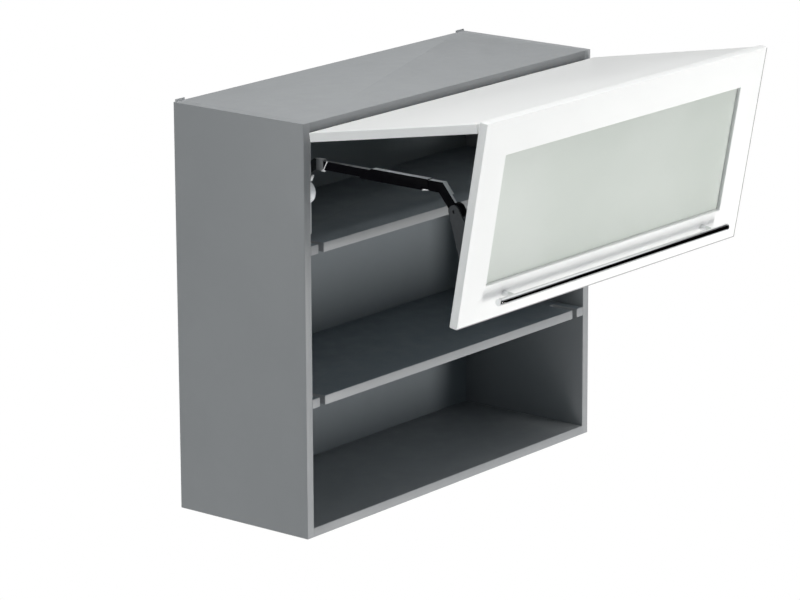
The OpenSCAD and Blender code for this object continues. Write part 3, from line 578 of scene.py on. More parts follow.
def side_panels():
    low = (-HALF_WIDTH, CARCASS_FRONT + BAND, 0)
    panel = board("side_board", low, (-INNER_X, 0, HEIGHT), radius=BOARD_EDGE)
    cut(panel, *plate_pockets(LEFT))
    pair(panel, melamine, "carcass", "carcass_board", "side_panel")


def end_panel(stem, pocket_sides):
    low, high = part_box(stem)
    panel = board(stem + "_trim", (-INNER_X, low.y, low.z), (INNER_X, high.y, high.z), radius=BOARD_EDGE)
    cut(panel, *lock_pockets(low.z), *plate_pockets(*pocket_sides))
    dress(panel, melamine, "carcass", "carcass_board", stem)


side_panels()
end_panel("top_panel", BOTH)
end_panel("bottom_panel", ())

# the closed arms cross the shelves in slots
SLOT_NEAR = INNER_X - 32.8 * MM
SLOT_FAR = INNER_X - 19.2 * MM
SLOT_DEPTHS = {"upper_shelf": 70.6 * MM, "lower_shelf": 53.6 * MM}
SLOT_REACH = 1.2 * MM


def slot_tools(depth, low, high):
    """The space of a shelf's two slots."""
    front_y, rear_y = CARCASS_FRONT - TOOL_OVER, CARCASS_FRONT + depth
    tools = []
    for side in BOTH:
        x0, x1 = span(side, SLOT_NEAR, SLOT_FAR)
        tools.append(cube("slot_tool", (x0, front_y, low), (x1, rear_y, high)))
    return tools


def in_slot(face):
    """A slot's upright walls."""
    near_slot = SLOT_NEAR - SLOT_REACH < abs(face.center.x) < SLOT_FAR + SLOT_REACH
    return abs(face.normal.z) < 0.5 and near_slot


def shelf(stem, depth):
    """A shelf with its two slots; the strip on its front edge is returned."""
    low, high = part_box(stem)
    piece = cube(stem + "_trim", low, high)
    cut(piece, *slot_tools(depth, low.z - MM, high.z + MM))
    soften(piece, BOARD_EDGE, angle=60)
    dress(piece, shelf_painted_shade, "carcass", "carcass_board", stem)
    add_finish(piece, edge_band, in_slot)
    strip = cube("shelf_band", (low.x, CARCASS_FRONT, low.z), (high.x, CARCASS_FRONT + BAND, high.z))
    cut(strip, *slot_tools(depth, low.z - MM, high.z + MM))
    return soften(strip, BAND_EDGE, angle=60)


def side_band(side):
    x0, x1 = span(side, HALF_WIDTH, INNER_X)
    return board("side_band", (x0, CARCASS_FRONT, 0), (x1, CARCASS_FRONT + BAND, HEIGHT), radius=BAND_EDGE)


def panel_band(z):
    high = (INNER_X, CARCASS_FRONT + BAND, z + BOARD)
    return board("panel_band", (-INNER_X, CARCASS_FRONT, z), high, radius=BAND_EDGE)


band_sets = {
    "shelf": [shelf(stem, depth) for stem, depth in SLOT_DEPTHS.items()],
    "side": [side_band(side) for side in BOTH],
    "panel": [panel_band(z) for z in (0, HEIGHT - BOARD)],
}
for stem, bands in band_sets.items():
    dress(join(stem + "_bands_trim", *bands), edge_band, "carcass", "edge_band", stem + "_edge_bands")

# ------------------------------------------------------------------- fronts

HINGE_X = 270 * MM
CUP_R = 17.5 * MM
CUP_SINK = 12.7 * MM
FLANGE_RIM = 2.6 * MM
FLANGE_SINK = 1.31 * MM
WING_X, WING_Z = 26.1 * MM, 8.1 * MM
WING_SINK = 1.3 * MM
UPPER_CUP_Z = UPPER_TOP - 22 * MM
LOWER_CUP_Z = LOWER_TOP - 28 * MM
LACQUER_EDGE = 1.5 * MM


def cup_rooms(z):
    """Room for two hinge cups, with their flanges and wings, in a front's inner face."""
    out_y = INNER_Y + TOOL_OVER
    tools = []
    for side in BOTH:
        x = side * HINGE_X
        tools.append(rod("cup_room", (x, out_y, z), (x, INNER_Y - CUP_SINK, z), CUP_R + 0.1 * MM))
        tools.append(rod("flange_room", (x, out_y, z), (x, INNER_Y - FLANGE_SINK, z), CUP_R + FLANGE_RIM))
        wing_low = (x - WING_X, INNER_Y - WING_SINK, z - WING_Z)
        tools.append(cube("wing_room", wing_low, (x + WING_X, out_y, z + WING_Z)))
    return tools


def upper_front():
    low = (-FRONT_W / 2, OUTER_Y, UPPER_BOTTOM)
    piece = cube("upper_front_trim", low, (FRONT_W / 2, INNER_Y, UPPER_TOP))
    soften(piece, LACQUER_EDGE, 4, angle=60)
    smooth(cut(piece, *cup_rooms(UPPER_CUP_Z)))
    dress(piece, white_lacquer, "upper_front", "front_white", "upper_front")
    open_upper(piece)


upper_front()

# the lower front's window, and the rebate behind it that holds the pane
FRAME_W = 63.5 * MM
REBATE = 12 * MM
LIP = 7 * MM
MID_Z = (LOWER_TOP + LOWER_BOTTOM) / 2
OPEN_W = FRONT_W / 2 - FRAME_W
OPEN_H = FRONT_H / 2 - FRAME_W
REBATE_W = OPEN_W + REBATE
REBATE_H = OPEN_H + REBATE
SHADE_LINE_SIDE = 3.4 * MM
SHADE_LINE_LOW = 2.4 * MM
SHADE_LINE_SINK = 0.12 * MM


def window_tool(half_width, half_height, front_y):
    low = (-half_width, front_y, MID_Z - half_height)
    return cube("window_tool", low, (half_width, INNER_Y + TOOL_OVER, MID_Z + half_height))


# painted shade: picks the faces along the lower front's right and bottom edges that get the dark grey line
def in_shade_line(face):
    centre = face.center
    near_edge = centre.x > FRONT_W / 2 - SHADE_LINE_SIDE or centre.z < LOWER_BOTTOM + SHADE_LINE_LOW
    return near_edge and centre.y < OUTER_Y + LACQUER_EDGE and -face.normal.y > 0.12


def shade_line_round_front(piece):
    """A thin painted shade line along the closed lower front's bottom and right edges."""
    face_y = OUTER_Y + SHADE_LINE_SINK
    right_line = cube("right_line", (FRONT_W / 2 - SHADE_LINE_SIDE, OUTER_Y - MM, LOWER_BOTTOM - MM),
                      (FRONT_W / 2 + MM, face_y, LOWER_TOP + MM))
    low_line = cube("low_line", (-FRONT_W / 2 - MM, OUTER_Y - MM, LOWER_BOTTOM - MM),
                    (FRONT_W / 2 + MM, face_y, LOWER_BOTTOM + SHADE_LINE_LOW))
    cut(piece, right_line, low_line)
    add_finish(piece, front_edge_shade, in_shade_line)


def lower_frame():
    low = (-FRONT_W / 2, OUTER_Y, LOWER_BOTTOM)
    piece = cube("lower_frame_trim", low, (FRONT_W / 2, INNER_Y, LOWER_TOP))
    cut(piece, window_tool(OPEN_W, OPEN_H, OUTER_Y - TOOL_OVER))
    soften(piece, LACQUER_EDGE, 4, angle=60)
    smooth(cut(piece, window_tool(REBATE_W, REBATE_H, OUTER_Y + LIP), *cup_rooms(LOWER_CUP_Z)))
    dress(piece, white_lacquer, "lower_front", "front_white", "lower_frame")
    shade_line_round_front(piece)
    open_lower(piece)


lower_frame()

PANE_GAP = 1 * MM
PANE_Y = OUTER_Y + LIP
STRIP_Y = PANE_Y + 4 * MM
STRIP_T = 4.5 * MM
STRIP_GAP = 0.3 * MM
STRIP_EDGE = 1.2 * MM


def glass_pane():
    half_width, half_height = REBATE_W - PANE_GAP, REBATE_H - PANE_GAP
    piece = board("glass_pane_trim", (-half_width, PANE_Y, MID_Z - half_height),
                  (half_width, STRIP_Y, MID_Z + half_height))
    dress(open_lower(piece), satin_glass, "lower_front", "frosted_glass", "glass_pane")


def glass_strip_piece(name, x0, x1, z0, z1):
    low, high = (x0, STRIP_Y, z0), (x1, STRIP_Y + STRIP_T, z1)
    return board(name, low, high, radius=STRIP_EDGE, segments=3)


def rail_strip(z):
    """A strip along the rebate's lower or upper side, about its middle height."""
    half = REBATE_W - STRIP_GAP
    return glass_strip_piece("rail_strip", -half, half, z - REBATE / 2 + STRIP_GAP, z + REBATE / 2 - 0.2 * MM)


def stile_strip(side):
    x0, x1 = span(side, REBATE_W - STRIP_GAP, OPEN_W + STRIP_GAP)
    return glass_strip_piece("stile_strip", x0, x1, MID_Z - OPEN_H + STRIP_GAP, MID_Z + OPEN_H - STRIP_GAP)


glass_pane()
rails = [rail_strip(MID_Z + level * (OPEN_H + REBATE / 2)) for level in (-1, 1)]
stiles = [stile_strip(side) for side in BOTH]
for stem, strips in (("rail", rails), ("stile", stiles)):
    strip_set = open_lower(join(stem + "_strips_trim", *strips))
    dress(strip_set, glass_strip, "lower_front", "front_white", "bead_" + stem + "s")

# ------------------------------------------------------------------- handle

BAR_R = 6 * MM
BAR_HALF = 328 * MM
BAR_Y = OUTER_Y - 23.5 * MM
BAR_Z = LOWER_BOTTOM + 42 * MM
POST_X = 284 * MM
POST_R = 5.5 * MM
GROOVE_OUT, GROOVE_IN = BAR_HALF - 4.0 * MM, BAR_HALF - 5.0 * MM
GROOVE_FLOOR = BAR_R - 0.7 * MM


def handle_bar():
    piece = rod("handle_bar_trim", (-BAR_HALF, BAR_Y, BAR_Z), (BAR_HALF, BAR_Y, BAR_Z), BAR_R, sides=64)
    for side in BOTH:
        groove = [(side * GROOVE_IN, GROOVE_FLOOR), (side * GROOVE_IN, BAR_R + MM),
                  (side * GROOVE_OUT, BAR_R + MM), (side * GROOVE_OUT, GROOVE_FLOOR)]
        cut(piece, turned("groove_tool", groove, (0, BAR_Y, BAR_Z)))
    soften(piece, 1.0 * MM, 4, angle=60)
    dress(open_lower(piece), chrome, "lower_front", "handle_chrome", "handle_bar")


def handle_post(side):
    """A post from the front's face into the bar."""
    tip_y = BAR_Y + BAR_R * 0.4
    post = rod("post", (side * POST_X, OUTER_Y, BAR_Z), (side * POST_X, tip_y, BAR_Z), POST_R, sides=40)
    return soften(post, 0.5 * MM, angle=60)


handle_bar()
posts = join("handle_posts_trim", *[handle_post(side) for side in BOTH])
dress(open_lower(posts), chrome, "lower_front", "handle_chrome", "handle_posts")

# --------------------------------------------------------------------- lift
# The left lift is modelled, and the right one is its mirror copy.

casing_low, casing_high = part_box("lift_casing_left")
cap_low, cap_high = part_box("lift_cap_left")
base_low, base_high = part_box("lift_base_left")
AXIS = (ARM_AXIS.y, ARM_AXIS.z)
CAP = ((cap_low.y + cap_high.y) / 2, (cap_low.z + cap_high.z) / 2)
CAP_R = (cap_high.z - cap_low.z) / 2
CASING_X = cap_high.x - 6.5 * MM
CASING_CORNER = 6 * MM
CASING_WALL = 2 * MM
PIN_ROOM_R = 5.5 * MM
SCREW_IN = 12 * MM
SCREW_ROOM_R = 4 * MM
BOSS_R = 13 * MM
BOSS_EASE = 0.6 * MM
STEM_R = 6 * MM
DOME_STEPS = 14
CATCH_FOOT = (CAP[0] - 8 * MM, CAP[1] + CAP_R - 2.5 * MM)
CATCH_TIP = (CATCH_FOOT[0] - 5 * MM, CATCH_FOOT[1] + 11 * MM)


def casing_shell():
    """The casing's hollow box, with the cap's round seat and the holes for pin and screws."""
    edges = (base_low.y, base_high.y, base_low.z, base_high.z)
    outline = round_rectangle(*edges, CASING_CORNER, CASING_CORNER)
    hollow = round_rectangle(*edges, CASING_CORNER, CASING_CORNER - CASING_WALL)
    below, above = casing_low.x - MM, CASING_X + MM
    shell = plate("casing", outline, casing_low.x, CASING_X)
    fuse(shell, rod("cap_seat", (casing_low.x, *CAP), (CASING_X, *CAP), CAP_R, sides=72))
    cut(shell, plate("hollow_tool", hollow, below, CASING_X - CASING_WALL),
        rod("pin_tool", (below, *AXIS), (above, *AXIS), PIN_ROOM_R))
    for y in (base_low.y + SCREW_IN, base_high.y - SCREW_IN):
        for z in (base_low.z + SCREW_IN, base_high.z - SCREW_IN):
            cut(shell, rod("screw_tool", (below, y, z), (above, y, z), SCREW_ROOM_R, sides=32))
    return soften(shell, 0.8 * MM, angle=50)


def casing_boss():
    """The raised ring round the lift's axis."""
    profile = [(CASING_X - MM, PIN_ROOM_R), (CASING_X - MM, BOSS_R), (casing_high.x - BOSS_EASE, BOSS_R),
               (casing_high.x, BOSS_R - BOSS_EASE), (casing_high.x, PIN_ROOM_R)]
    return turned("boss", profile, (0, *AXIS))


def on_catch(face):
    centre = face.center
    return (abs(centre.x) < -CASING_X - 0.05 * MM
            and CATCH_TIP[0] - 2 * MM < centre.y < CATCH_FOOT[0] + 2 * MM
            and CATCH_FOOT[1] < centre.z < CATCH_TIP[1] + 2 * MM)


def on_cap_seat(face):
    from_cap = math.dist((face.center.y, face.center.z), CAP)
    return abs(from_cap - CAP_R) < 0.9 * MM and face.material_index == 0


def lift_casings():
    """The casing, its boss and the small bright catch above the cap."""
    outline = bar_outline([CATCH_FOOT, CATCH_TIP], 1.2 * MM)
    shell = casing_shell()
    boss = casing_boss()
    catch = soften(plate("catch", outline, CASING_X - MM, CASING_X + 5 * MM), 0.3 * MM)
    casing = join("lift_casing", shell, boss, catch)
    for piece in pair(casing, casing_paint, "carcass", "casing_silver", "lift_casing"):
        add_finish(piece, wire_steel, on_catch)
        add_finish(piece, cap_satin, on_cap_seat)


def lift_caps():
    """The cap: a flat dome on a short stem."""
    rise = cap_high.x - CASING_X
    ball = (CAP_R ** 2 + rise ** 2) / (2 * rise)
    half_angle = math.asin(CAP_R / ball)
    profile = [(cap_low.x, 0.01 * MM), (cap_low.x, STEM_R), (CASING_X, STEM_R), (CASING_X, CAP_R)]
    for i in range(1, DOME_STEPS):
        angle = half_angle * (1 - i / DOME_STEPS)
        profile.append((cap_high.x - ball + ball * math.cos(angle), ball * math.sin(angle)))
    profile.append((cap_high.x, 0.01 * MM))
    pair(turned("cap", profile, (0, *CAP)), cap_satin, "carcass", "cap_silver", "lift_cap")


lift_casings()
lift_caps()

# ---------------------------------------------------------------------- arm
# The arm runs from its root at the casing to the elbow, and down to the pivot at the bracket.

ARM_X0 = -INNER_X + 20 * MM
ARM_X1 = ARM_X0 + 12 * MM
ROD_X0, ROD_X1 = ARM_X0 + 1.5 * MM, ARM_X1 - 1.5 * MM
ROD_HALF = 7.5 * MM
rivet_low, rivet_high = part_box("arm_rivet_left")
PIVOT = ((rivet_low.y + rivet_high.y) / 2, (rivet_low.z + rivet_high.z) / 2)
ELBOW = (PIVOT[0] + 30 * MM, PIVOT[1] + 35.5 * MM)
ROOT = (CARCASS_FRONT - 10 * MM, ELBOW[1] + 1.5 * MM)
SLEEVE_START = along(ELBOW, ROOT, 26 * MM)
LEAN = math.atan2(ROOT[1] - ELBOW[1], ROOT[0] - ELBOW[0])
SLEEVE_HALF = 10 * MM
NOTCH_RUN = 13.2 * MM
NOTCH_RISE = -4.3 * MM
NOTCH_LOW = -10.6 * MM
NOTCH_EDGE = 0.05 * MM


def is_highlit_top(face):
    """The narrow faces of an arm that look up, which get the painted highlight."""
    return abs(face.normal.x) < 0.5 and face.normal.z > 0.3


def arm_pair(piece, highlight_material, stem, takes_face=is_highlit_top):
    """An arm's left and right pieces, black at the sides, with a painted highlight on the faces that look up."""
    pieces = pair(piece, black_paint, "lift_arm", "arm_black", stem)
    for side_piece in pieces:
        add_finish(side_piece, highlight_material, takes_face)
    return pieces


def by_sleeve(run, rise):
    """A point given along and across the sleeve."""
    return (SLEEVE_START[0] + run * math.cos(LEAN) - rise * math.sin(LEAN),
            SLEEVE_START[1] + run * math.sin(LEAN) + rise * math.cos(LEAN))


def sleeve_shape(points):
    return [by_sleeve(run, rise) for run, rise in points]


# painted highlight: the sleeve's faces that look up along its lean get the pale colour
def is_highlit_sleeve_top(face):
    return is_highlit_top(face) and face.normal.z * math.cos(LEAN) - face.normal.y * math.sin(LEAN) > 0.95


def on_tip(face):
    """Faces of the liner's tip, which shows in the sleeve's notch."""
    y, z = face.center.y - SLEEVE_START[0], face.center.z - SLEEVE_START[1]
    run = y * math.cos(LEAN) + z * math.sin(LEAN)
    rise = z * math.cos(LEAN) - y * math.sin(LEAN)
    return -MM < run < NOTCH_RUN - NOTCH_EDGE and NOTCH_LOW < rise < NOTCH_RISE - NOTCH_EDGE


def arm_rods():
    outline = bar_outline([along(ELBOW, ROOT, 60 * MM), ROOT], ROD_HALF)
    arm_pair(soften(plate("rod", outline, ROD_X0, ROD_X1), 0.5 * MM, angle=50), rod_top_highlight, "arm_rod")


def sleeve_tube():
    """The sleeve over the rod, slanted at its upper end and notched at its lower end."""
    outline = [(0, -SLEEVE_HALF), (138 * MM, -SLEEVE_HALF), (144 * MM, -8.1 * MM), (122 * MM, 8.1 * MM),
               (118 * MM, SLEEVE_HALF), (0, SLEEVE_HALF)]
    tunnel = [(-2 * MM, -7.8 * MM), (162 * MM, -7.8 * MM), (162 * MM, 7.8 * MM), (-2 * MM, 7.8 * MM)]
    notch = [(-2 * MM, NOTCH_RISE), (NOTCH_RUN, NOTCH_RISE), (NOTCH_RUN, NOTCH_LOW), (-2 * MM, NOTCH_LOW)]
    tube = plate("sleeve", sleeve_shape(outline), ARM_X0, ARM_X1)
    cut(tube, plate("tunnel_tool", sleeve_shape(tunnel), ROD_X0 - 0.3 * MM, ROD_X1 + 0.3 * MM))
    soften(tube, 0.4 * MM, angle=50)
    return cut(tube, plate("notch_tool", sleeve_shape(notch), ARM_X0 - MM, ARM_X1 + MM))


def liner_tip():
    """The liner's pale tip: a wedge whose outer face leans inwards as it rises."""
    outline = [(13.3 * MM, -4.4 * MM), (13.3 * MM, -10.5 * MM),
               (-0.5 * MM, -8.6 * MM), (-0.5 * MM, -8.1 * MM)]
    tip = plate("liner_tip", sleeve_shape(outline), ARM_X0 + 0.2 * MM, ARM_X0 + 4.6 * MM)
    foot = min(vertex.co.z for vertex in tip.data.vertices)
    for vertex in tip.data.vertices:
        if vertex.co.x < ARM_X0 + MM:
            vertex.co.x += (vertex.co.z - foot) * 0.8
    tip.data.update()
    return tip


def arm_sleeves():
    tube = sleeve_tube()
    sleeve = join("sleeve", tube, liner_tip())
    for piece in arm_pair(sleeve, arm_top_highlight, "arm_sleeve", is_highlit_sleeve_top):
        add_finish(piece, tip_zinc, on_tip)


arm_rods()
arm_sleeves()

NECK_X0, NECK_X1 = ROD_X0 - 0.6 * MM, ROD_X1 + 0.6 * MM
NECK_HALF = 9 * MM
WAIST_SINK = 5.2 * MM
EYE_R = 14 * MM
RIVET_ROOM_R = 3.05 * MM
HEAD_ROOM_R = 6 * MM


# painted highlight: the neck's upward faces away from the eye get the pale colour
def is_highlit_neck_top(face):
    return is_highlit_top(face) and math.dist((face.center.y, face.center.z), PIVOT) > EYE_R + 0.5 * MM


def arm_elbows():
    """The bent neck with its tongue in the sleeve, and the eye for the rivet."""
    bend = [PIVOT, ELBOW, along(ELBOW, ROOT, 25 * MM)]
    tongue_ends = [along(ELBOW, ROOT, 22 * MM), along(ELBOW, ROOT, 56 * MM)]
    waist_ends = [along(PIVOT, ELBOW, 4 * MM), along(PIVOT, ELBOW, 26 * MM)]
    neck = plate("neck", bar_outline(bend, NECK_HALF), NECK_X0, NECK_X1)
    cut(neck, plate("waist_tool", bar_outline(waist_ends, 12 * MM), NECK_X0 + WAIST_SINK, NECK_X1 + MM))
    fuse(neck, plate("tongue", bar_outline(tongue_ends, ROD_HALF), ROD_X0, ROD_X1),
         rod("eye", (ARM_X0, *PIVOT), (ARM_X1, *PIVOT), EYE_R, sides=64))
    cut(neck, rod("rivet_tool", (ARM_X0 - MM, *PIVOT), (ARM_X1, *PIVOT), RIVET_ROOM_R, sides=40),
        rod("head_tool", (ARM_X0 + 3 * MM, *PIVOT), (ARM_X1 + MM, *PIVOT), HEAD_ROOM_R, sides=40))
    arm_pair(soften(neck, 0.5 * MM, angle=50), arm_top_highlight, "arm_elbow", is_highlit_neck_top)


arm_elbows()

LEVER_X1 = ARM_X1 - 0.5 * MM
LEVER_X0 = LEVER_X1 - 6 * MM
LEVER_HALF = 8.5 * MM
BLOCK_HALF = 9.5 * MM
HUB_R = 15 * MM
BORE_R = 5.05 * MM
KNEE = (CARCASS_FRONT + 10 * MM, ROOT[1])


def on_block(face):
    """Faces of the lever's block, where the rod starts."""
    return (abs(face.center.y - ROOT[0] - 7.5 * MM) < 8 * MM
            and abs(face.center.z - ROOT[1]) < BLOCK_HALF + 0.2 * MM)


def lift_levers():
    """The lever from the lift's axis to the rod, with the block at its end."""
    line_back = (2 * ROOT[0] - ELBOW[0], 2 * ROOT[1] - ELBOW[1])
    block_ends = [along(ROOT, line_back, 0.2 * MM), along(ROOT, line_back, 15 * MM)]
    outline = bar_outline([(ROOT[0] + MM, ROOT[1]), KNEE, AXIS], LEVER_HALF)
    lever = plate("lever", outline, LEVER_X0, LEVER_X1)
    fuse(lever, rod("hub", (LEVER_X0, *AXIS), (LEVER_X1, *AXIS), HUB_R, sides=64),
         plate("block", bar_outline(block_ends, BLOCK_HALF), ROD_X0, LEVER_X1 - 0.2 * MM))
    cut(lever, rod("bore", (LEVER_X0 - MM, *AXIS), (LEVER_X1 + MM, *AXIS), BORE_R, sides=64))
    soften(lever, 0.5 * MM, angle=50)
    for piece in pair(lever, lever_dark, "lift_arm", "lift_steel", "lift_lever"):
        add_finish(piece, lever_zinc, on_block)


lift_levers()

CLIP_X = ARM_X0 + 0.7 * MM
WIRE_R = 0.8 * MM
CLIP_TOP = (CLIP_X, ROOT[0] - 9 * MM, ROOT[1] + 7.2 * MM)
CLIP_LOW = (CLIP_X, ROOT[0] - 1 * MM, ROOT[1] - 8.2 * MM)
CLIP_FOOT = ((-5.5, -10), (3.5, -10), (0.5, -6.6), (-2.5, -6.6))


def arm_clips():
    """The bright wire clip at the root of the arm, with its small pale foot."""
    clip = rod("clip_leg", CLIP_TOP, CLIP_LOW, WIRE_R, sides=16)
    hook_end = (CLIP_X + 3 * MM, CLIP_TOP[1], CLIP_TOP[2])
    fuse(clip, rod("clip_hook", CLIP_TOP, hook_end, WIRE_R, sides=16))
    deselect()
    bpy.ops.mesh.primitive_uv_sphere_add(segments=16, ring_count=8, radius=WIRE_R, location=CLIP_TOP)
    fuse(clip, settle(bpy.context.object, "bend"))
    foot_shape = [(ROOT[0] + y * MM, ROOT[1] + z * MM) for y, z in CLIP_FOOT]
    fuse(clip, soften(plate("clip_foot", foot_shape, CLIP_X - WIRE_R, CLIP_X + 2.4 * MM), 0.3 * MM))
    pair(smooth(clip, 50), wire_steel, "lift_arm", "clip_wire", "arm_clip")


arm_clips()

# ------------------------------------------------------------------ bracket

BRACKET_X1 = ARM_X0 - 0.3 * MM
BRACKET_X0 = BRACKET_X1 - 2.5 * MM
BRACKET_EYE = (INNER_Y + 47 * MM, LOWER_TOP - 176 * MM)
FOOT_TOP = BRACKET_EYE[1] - 28 * MM
FOOT_LOW = FOOT_TOP - 64 * MM
FOOT_SCREW_X = BRACKET_X0 - 7 * MM
FOOT_SCREW_IN = 12 * MM
FOOT_WIDTH, FOOT_T = 15 * MM, 2 * MM
BRACKET_EYE_R = 11 * MM
BRACKET_HOLE_R, FOOT_HOLE_R = 3 * MM, 2.1 * MM


def brackets():
    """The dark bracket on the lower front's inner face: an upright plate on a screwed foot."""
    outline = [(INNER_Y, FOOT_LOW), (INNER_Y + 14 * MM, FOOT_LOW),
               *arc(BRACKET_EYE, BRACKET_EYE_R, -28, 158, 18),
               (INNER_Y + 8 * MM, FOOT_TOP), (INNER_Y, FOOT_TOP)]
    bracket = plate("bracket", outline, BRACKET_X0, BRACKET_X1)
    hole_ends = (BRACKET_X0 - MM, *BRACKET_EYE), (BRACKET_X1 + MM, *BRACKET_EYE)
    cut(bracket, rod("hole", *hole_ends, BRACKET_HOLE_R, sides=40))
    foot = cube("foot", (BRACKET_X0 - FOOT_WIDTH, INNER_Y, FOOT_LOW),
                (BRACKET_X0 + 0.5 * MM, INNER_Y + FOOT_T, FOOT_TOP))
    for z in (FOOT_LOW + FOOT_SCREW_IN, FOOT_TOP - FOOT_SCREW_IN):
        screw_ends = (FOOT_SCREW_X, INNER_Y - MM, z), (FOOT_SCREW_X, INNER_Y + 4 * MM, z)
        cut(foot, rod("foot_hole", *screw_ends, FOOT_HOLE_R, sides=32))
    soften(fuse(bracket, foot), 0.4 * MM, angle=50)
    pair(open_lower(bracket), bracket_paint, "lower_front", "bracket_grey", "door_bracket")


brackets()

# ----------------------------------------------------------- floor and light

FLOOR_Z = -2.0
SHADOW_INNER, SHADOW_OUTER = 0.8, 1.8
STUDIO_RADIUS = 6.0


def floor_paint():
    """White to the camera, with the object's shadow; in gloss, white nearby and a dark studio far off."""
    material, tree, shader = new_material("white_floor")
    shader.inputs["Base Color"].default_value = (0.9, 0.9, 0.9, 1)
    shader.inputs["Roughness"].default_value = 0.9
    shader.inputs["Specular IOR Level"].default_value = 0.0
    place = add(tree, "ShaderNodeTexCoord")
    distance = add(tree, "ShaderNodeVectorMath", operation="LENGTH")
    tree.links.new(place.outputs["Object"], distance.inputs[0])
    from_middle = distance.outputs["Value"]
    rays = add(tree, "ShaderNodeLightPath")

    glow_share = add(tree, "ShaderNodeMath", operation="MULTIPLY")
    shade = map_range(tree, from_middle, SHADOW_INNER, SHADOW_OUTER, 0.6, 1.0)
    tree.links.new(shade, glow_share.inputs[0])
    tree.links.new(rays.outputs["Is Camera Ray"], glow_share.inputs[1])
    glow = add(tree, "ShaderNodeEmission", Color=(1, 1, 1, 1))
    seen = mix_shaders(tree, glow_share.outputs["Value"], shader.outputs["BSDF"], glow.outputs["Emission"])

    studio_run = add(tree, "ShaderNodeMath", operation="DIVIDE")
    studio_run.inputs[1].default_value = STUDIO_RADIUS
    tree.links.new(from_middle, studio_run.inputs[0])
    studio_glow = add(tree, "ShaderNodeEmission")
    tone = ramp(tree, studio_run.outputs["Value"], 0.95, 0.001, start=0.60, end=0.70)
    tree.links.new(tone, studio_glow.inputs["Color"])
    whole = mix_shaders(tree, rays.outputs["Is Glossy Ray"], seen, studio_glow.outputs["Emission"])
    tree.links.new(whole, tree.nodes["Material Output"].inputs["Surface"])
    return material


def lay_floor():
    deselect()
    bpy.ops.mesh.primitive_plane_add(size=40, location=(0, 0, FLOOR_Z))
    floor = bpy.context.object
    floor.name = "floor"
    floor.data.materials.append(floor_paint())


def studio_world():
    """White to the camera and through glass, a studio with a pale ceiling in gloss, dim light otherwise."""
    world = bpy.data.worlds.new("studio")
    bpy.context.scene.world = world
    world.use_nodes = True
    tree = world.node_tree
    ambient = tree.nodes["Background"]
    ambient.inputs["Color"].default_value = (0.82, 0.96, 1.06, 1)
    ambient.inputs["Strength"].default_value = 0.20
    white = add(tree, "ShaderNodeBackground", Color=(1, 1, 1, 1), Strength=1.0)
    studio = add(tree, "ShaderNodeBackground", Strength=1.0)
    where = add(tree, "ShaderNodeTexCoord")
    split = add(tree, "ShaderNodeSeparateXYZ")
    tree.links.new(where.outputs["Generated"], split.inputs["Vector"])
    ceiling = ramp(tree, split.outputs["Z"], 0.001, 1.0, start=0.48, end=0.56)
    tree.links.new(ceiling, studio.inputs["Color"])
    rays = add(tree, "ShaderNodeLightPath")
    shows_white = add(tree, "ShaderNodeMath", operation="MAXIMUM")
    tree.links.new(rays.outputs["Is Camera Ray"], shows_white.inputs[0])
    tree.links.new(rays.outputs["Is Transmission Ray"], shows_white.inputs[1])
    plain = mix_shaders(tree, shows_white.outputs["Value"], ambient.outputs["Background"],
                        white.outputs["Background"])
    whole = mix_shaders(tree, rays.outputs["Is Glossy Ray"], plain, studio.outputs["Background"])
    tree.links.new(whole, tree.nodes["World Output"].inputs["Surface"])


def place_lamp(name, data, place, aim):
    """A lamp that looks at the aim."""
    light = bpy.data.objects.new(name, data)
    bpy.context.scene.collection.objects.link(light)
    light.location = place
    light.rotation_mode = "QUATERNION"
    light.rotation_quaternion = (Vector(aim) - Vector(place)).to_track_quat("-Z", "Y")
    return light


def area_lamp(name, place, width, height, power, colour):
    """A flat studio light that looks at the cabinet's middle."""
    data = bpy.data.lights.new(name, "AREA")
    data.shape = "RECTANGLE"
    data.size = width
    data.size_y = height
    data.energy = power
    data.color = colour
    place_lamp(name, data, place, (0, -0.25, 0.35)).visible_camera = False


def lift_spot():
    """A narrow light on the left lift's cap."""
    data = bpy.data.lights.new("lift_spot", "SPOT")
    data.energy = 15
    data.spot_size = math.radians(2.6)
    data.spot_blend = 0.5
    data.shadow_soft_size = 0.04
    place_lamp("lift_spot", data, (0.25, -1.75, -0.75), (cap_high.x, CAP[0], CAP[1] + 2 * MM))


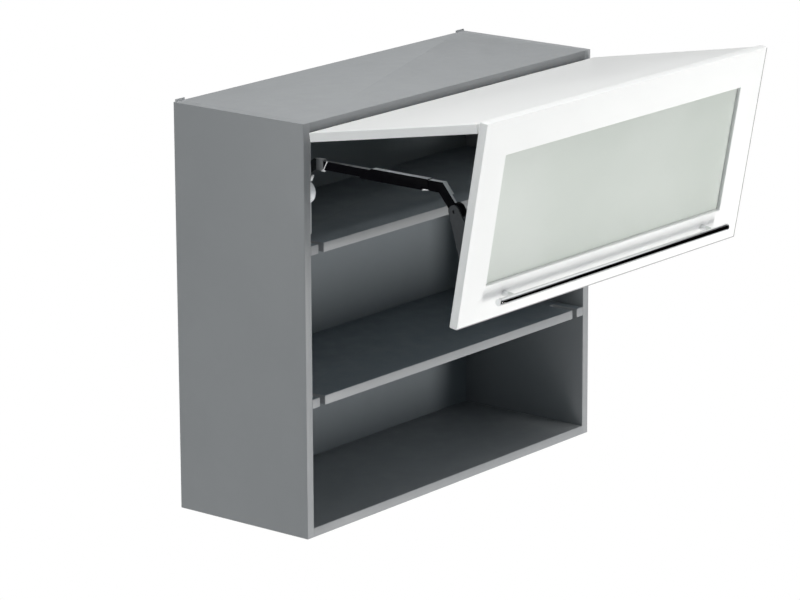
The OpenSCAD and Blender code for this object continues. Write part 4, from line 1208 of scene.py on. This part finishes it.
lay_floor()
studio_world()
area_lamp("key_light", (1.45, -4.1, -0.85), 0.95, 2.5, 147, (1.0, 0.985, 0.97))
area_lamp("top_light", (0.4, -0.3, 4.4), 1.6, 1.6, 114, (1.0, 0.99, 0.98))
area_lamp("high_front_light", (0.2, -2.4, 4.2), 1.6, 1.6, 50, (1.0, 0.99, 0.98))
area_lamp("side_light", (-3.4, 0.2, 0.9), 1.4, 1.4, 48, (1.0, 0.99, 0.97))
area_lamp("floor_light", (0.3, -1.3, -1.9), 1.2, 1.2, 14, (1.0, 0.99, 0.98))
lift_spot()

# ------------------------------------------------------------------- camera

CAMERA_AZIMUTH = math.radians(51.073)
CAMERA_PITCH = math.radians(14.890)
CAMERA_ROLL = math.radians(-0.261)
CAMERA_PLACE = Vector((-5.2506, -4.4086, 2.1114))
FOCAL_PIXELS = 3947.6
PHOTO_WIDTH = 800
SENSOR = 36


def set_camera():
    """The camera at the photograph's angle, turned by azimuth, pitch and roll."""
    level = math.cos(CAMERA_PITCH)
    forward = Vector((math.sin(CAMERA_AZIMUTH) * level, math.cos(CAMERA_AZIMUTH) * level,
                      -math.sin(CAMERA_PITCH)))
    across = Vector((math.cos(CAMERA_AZIMUTH), -math.sin(CAMERA_AZIMUTH), 0))
    above = across.cross(forward)
    right = across * math.cos(CAMERA_ROLL) + above * math.sin(CAMERA_ROLL)
    up = -across * math.sin(CAMERA_ROLL) + above * math.cos(CAMERA_ROLL)
    data = bpy.data.cameras.new("camera")
    data.sensor_width = SENSOR
    data.lens = FOCAL_PIXELS / PHOTO_WIDTH * SENSOR
    data.clip_end = 60
    camera = bpy.data.objects.new("camera", data)
    bpy.context.scene.collection.objects.link(camera)
    camera.matrix_world = Matrix((
        (right.x, up.x, -forward.x, CAMERA_PLACE.x),
        (right.y, up.y, -forward.y, CAMERA_PLACE.y),
        (right.z, up.z, -forward.z, CAMERA_PLACE.z),
        (0, 0, 0, 1),
    ))
    bpy.context.scene.camera = camera


set_camera()
bpy.context.scene.view_settings.view_transform = "Standard"
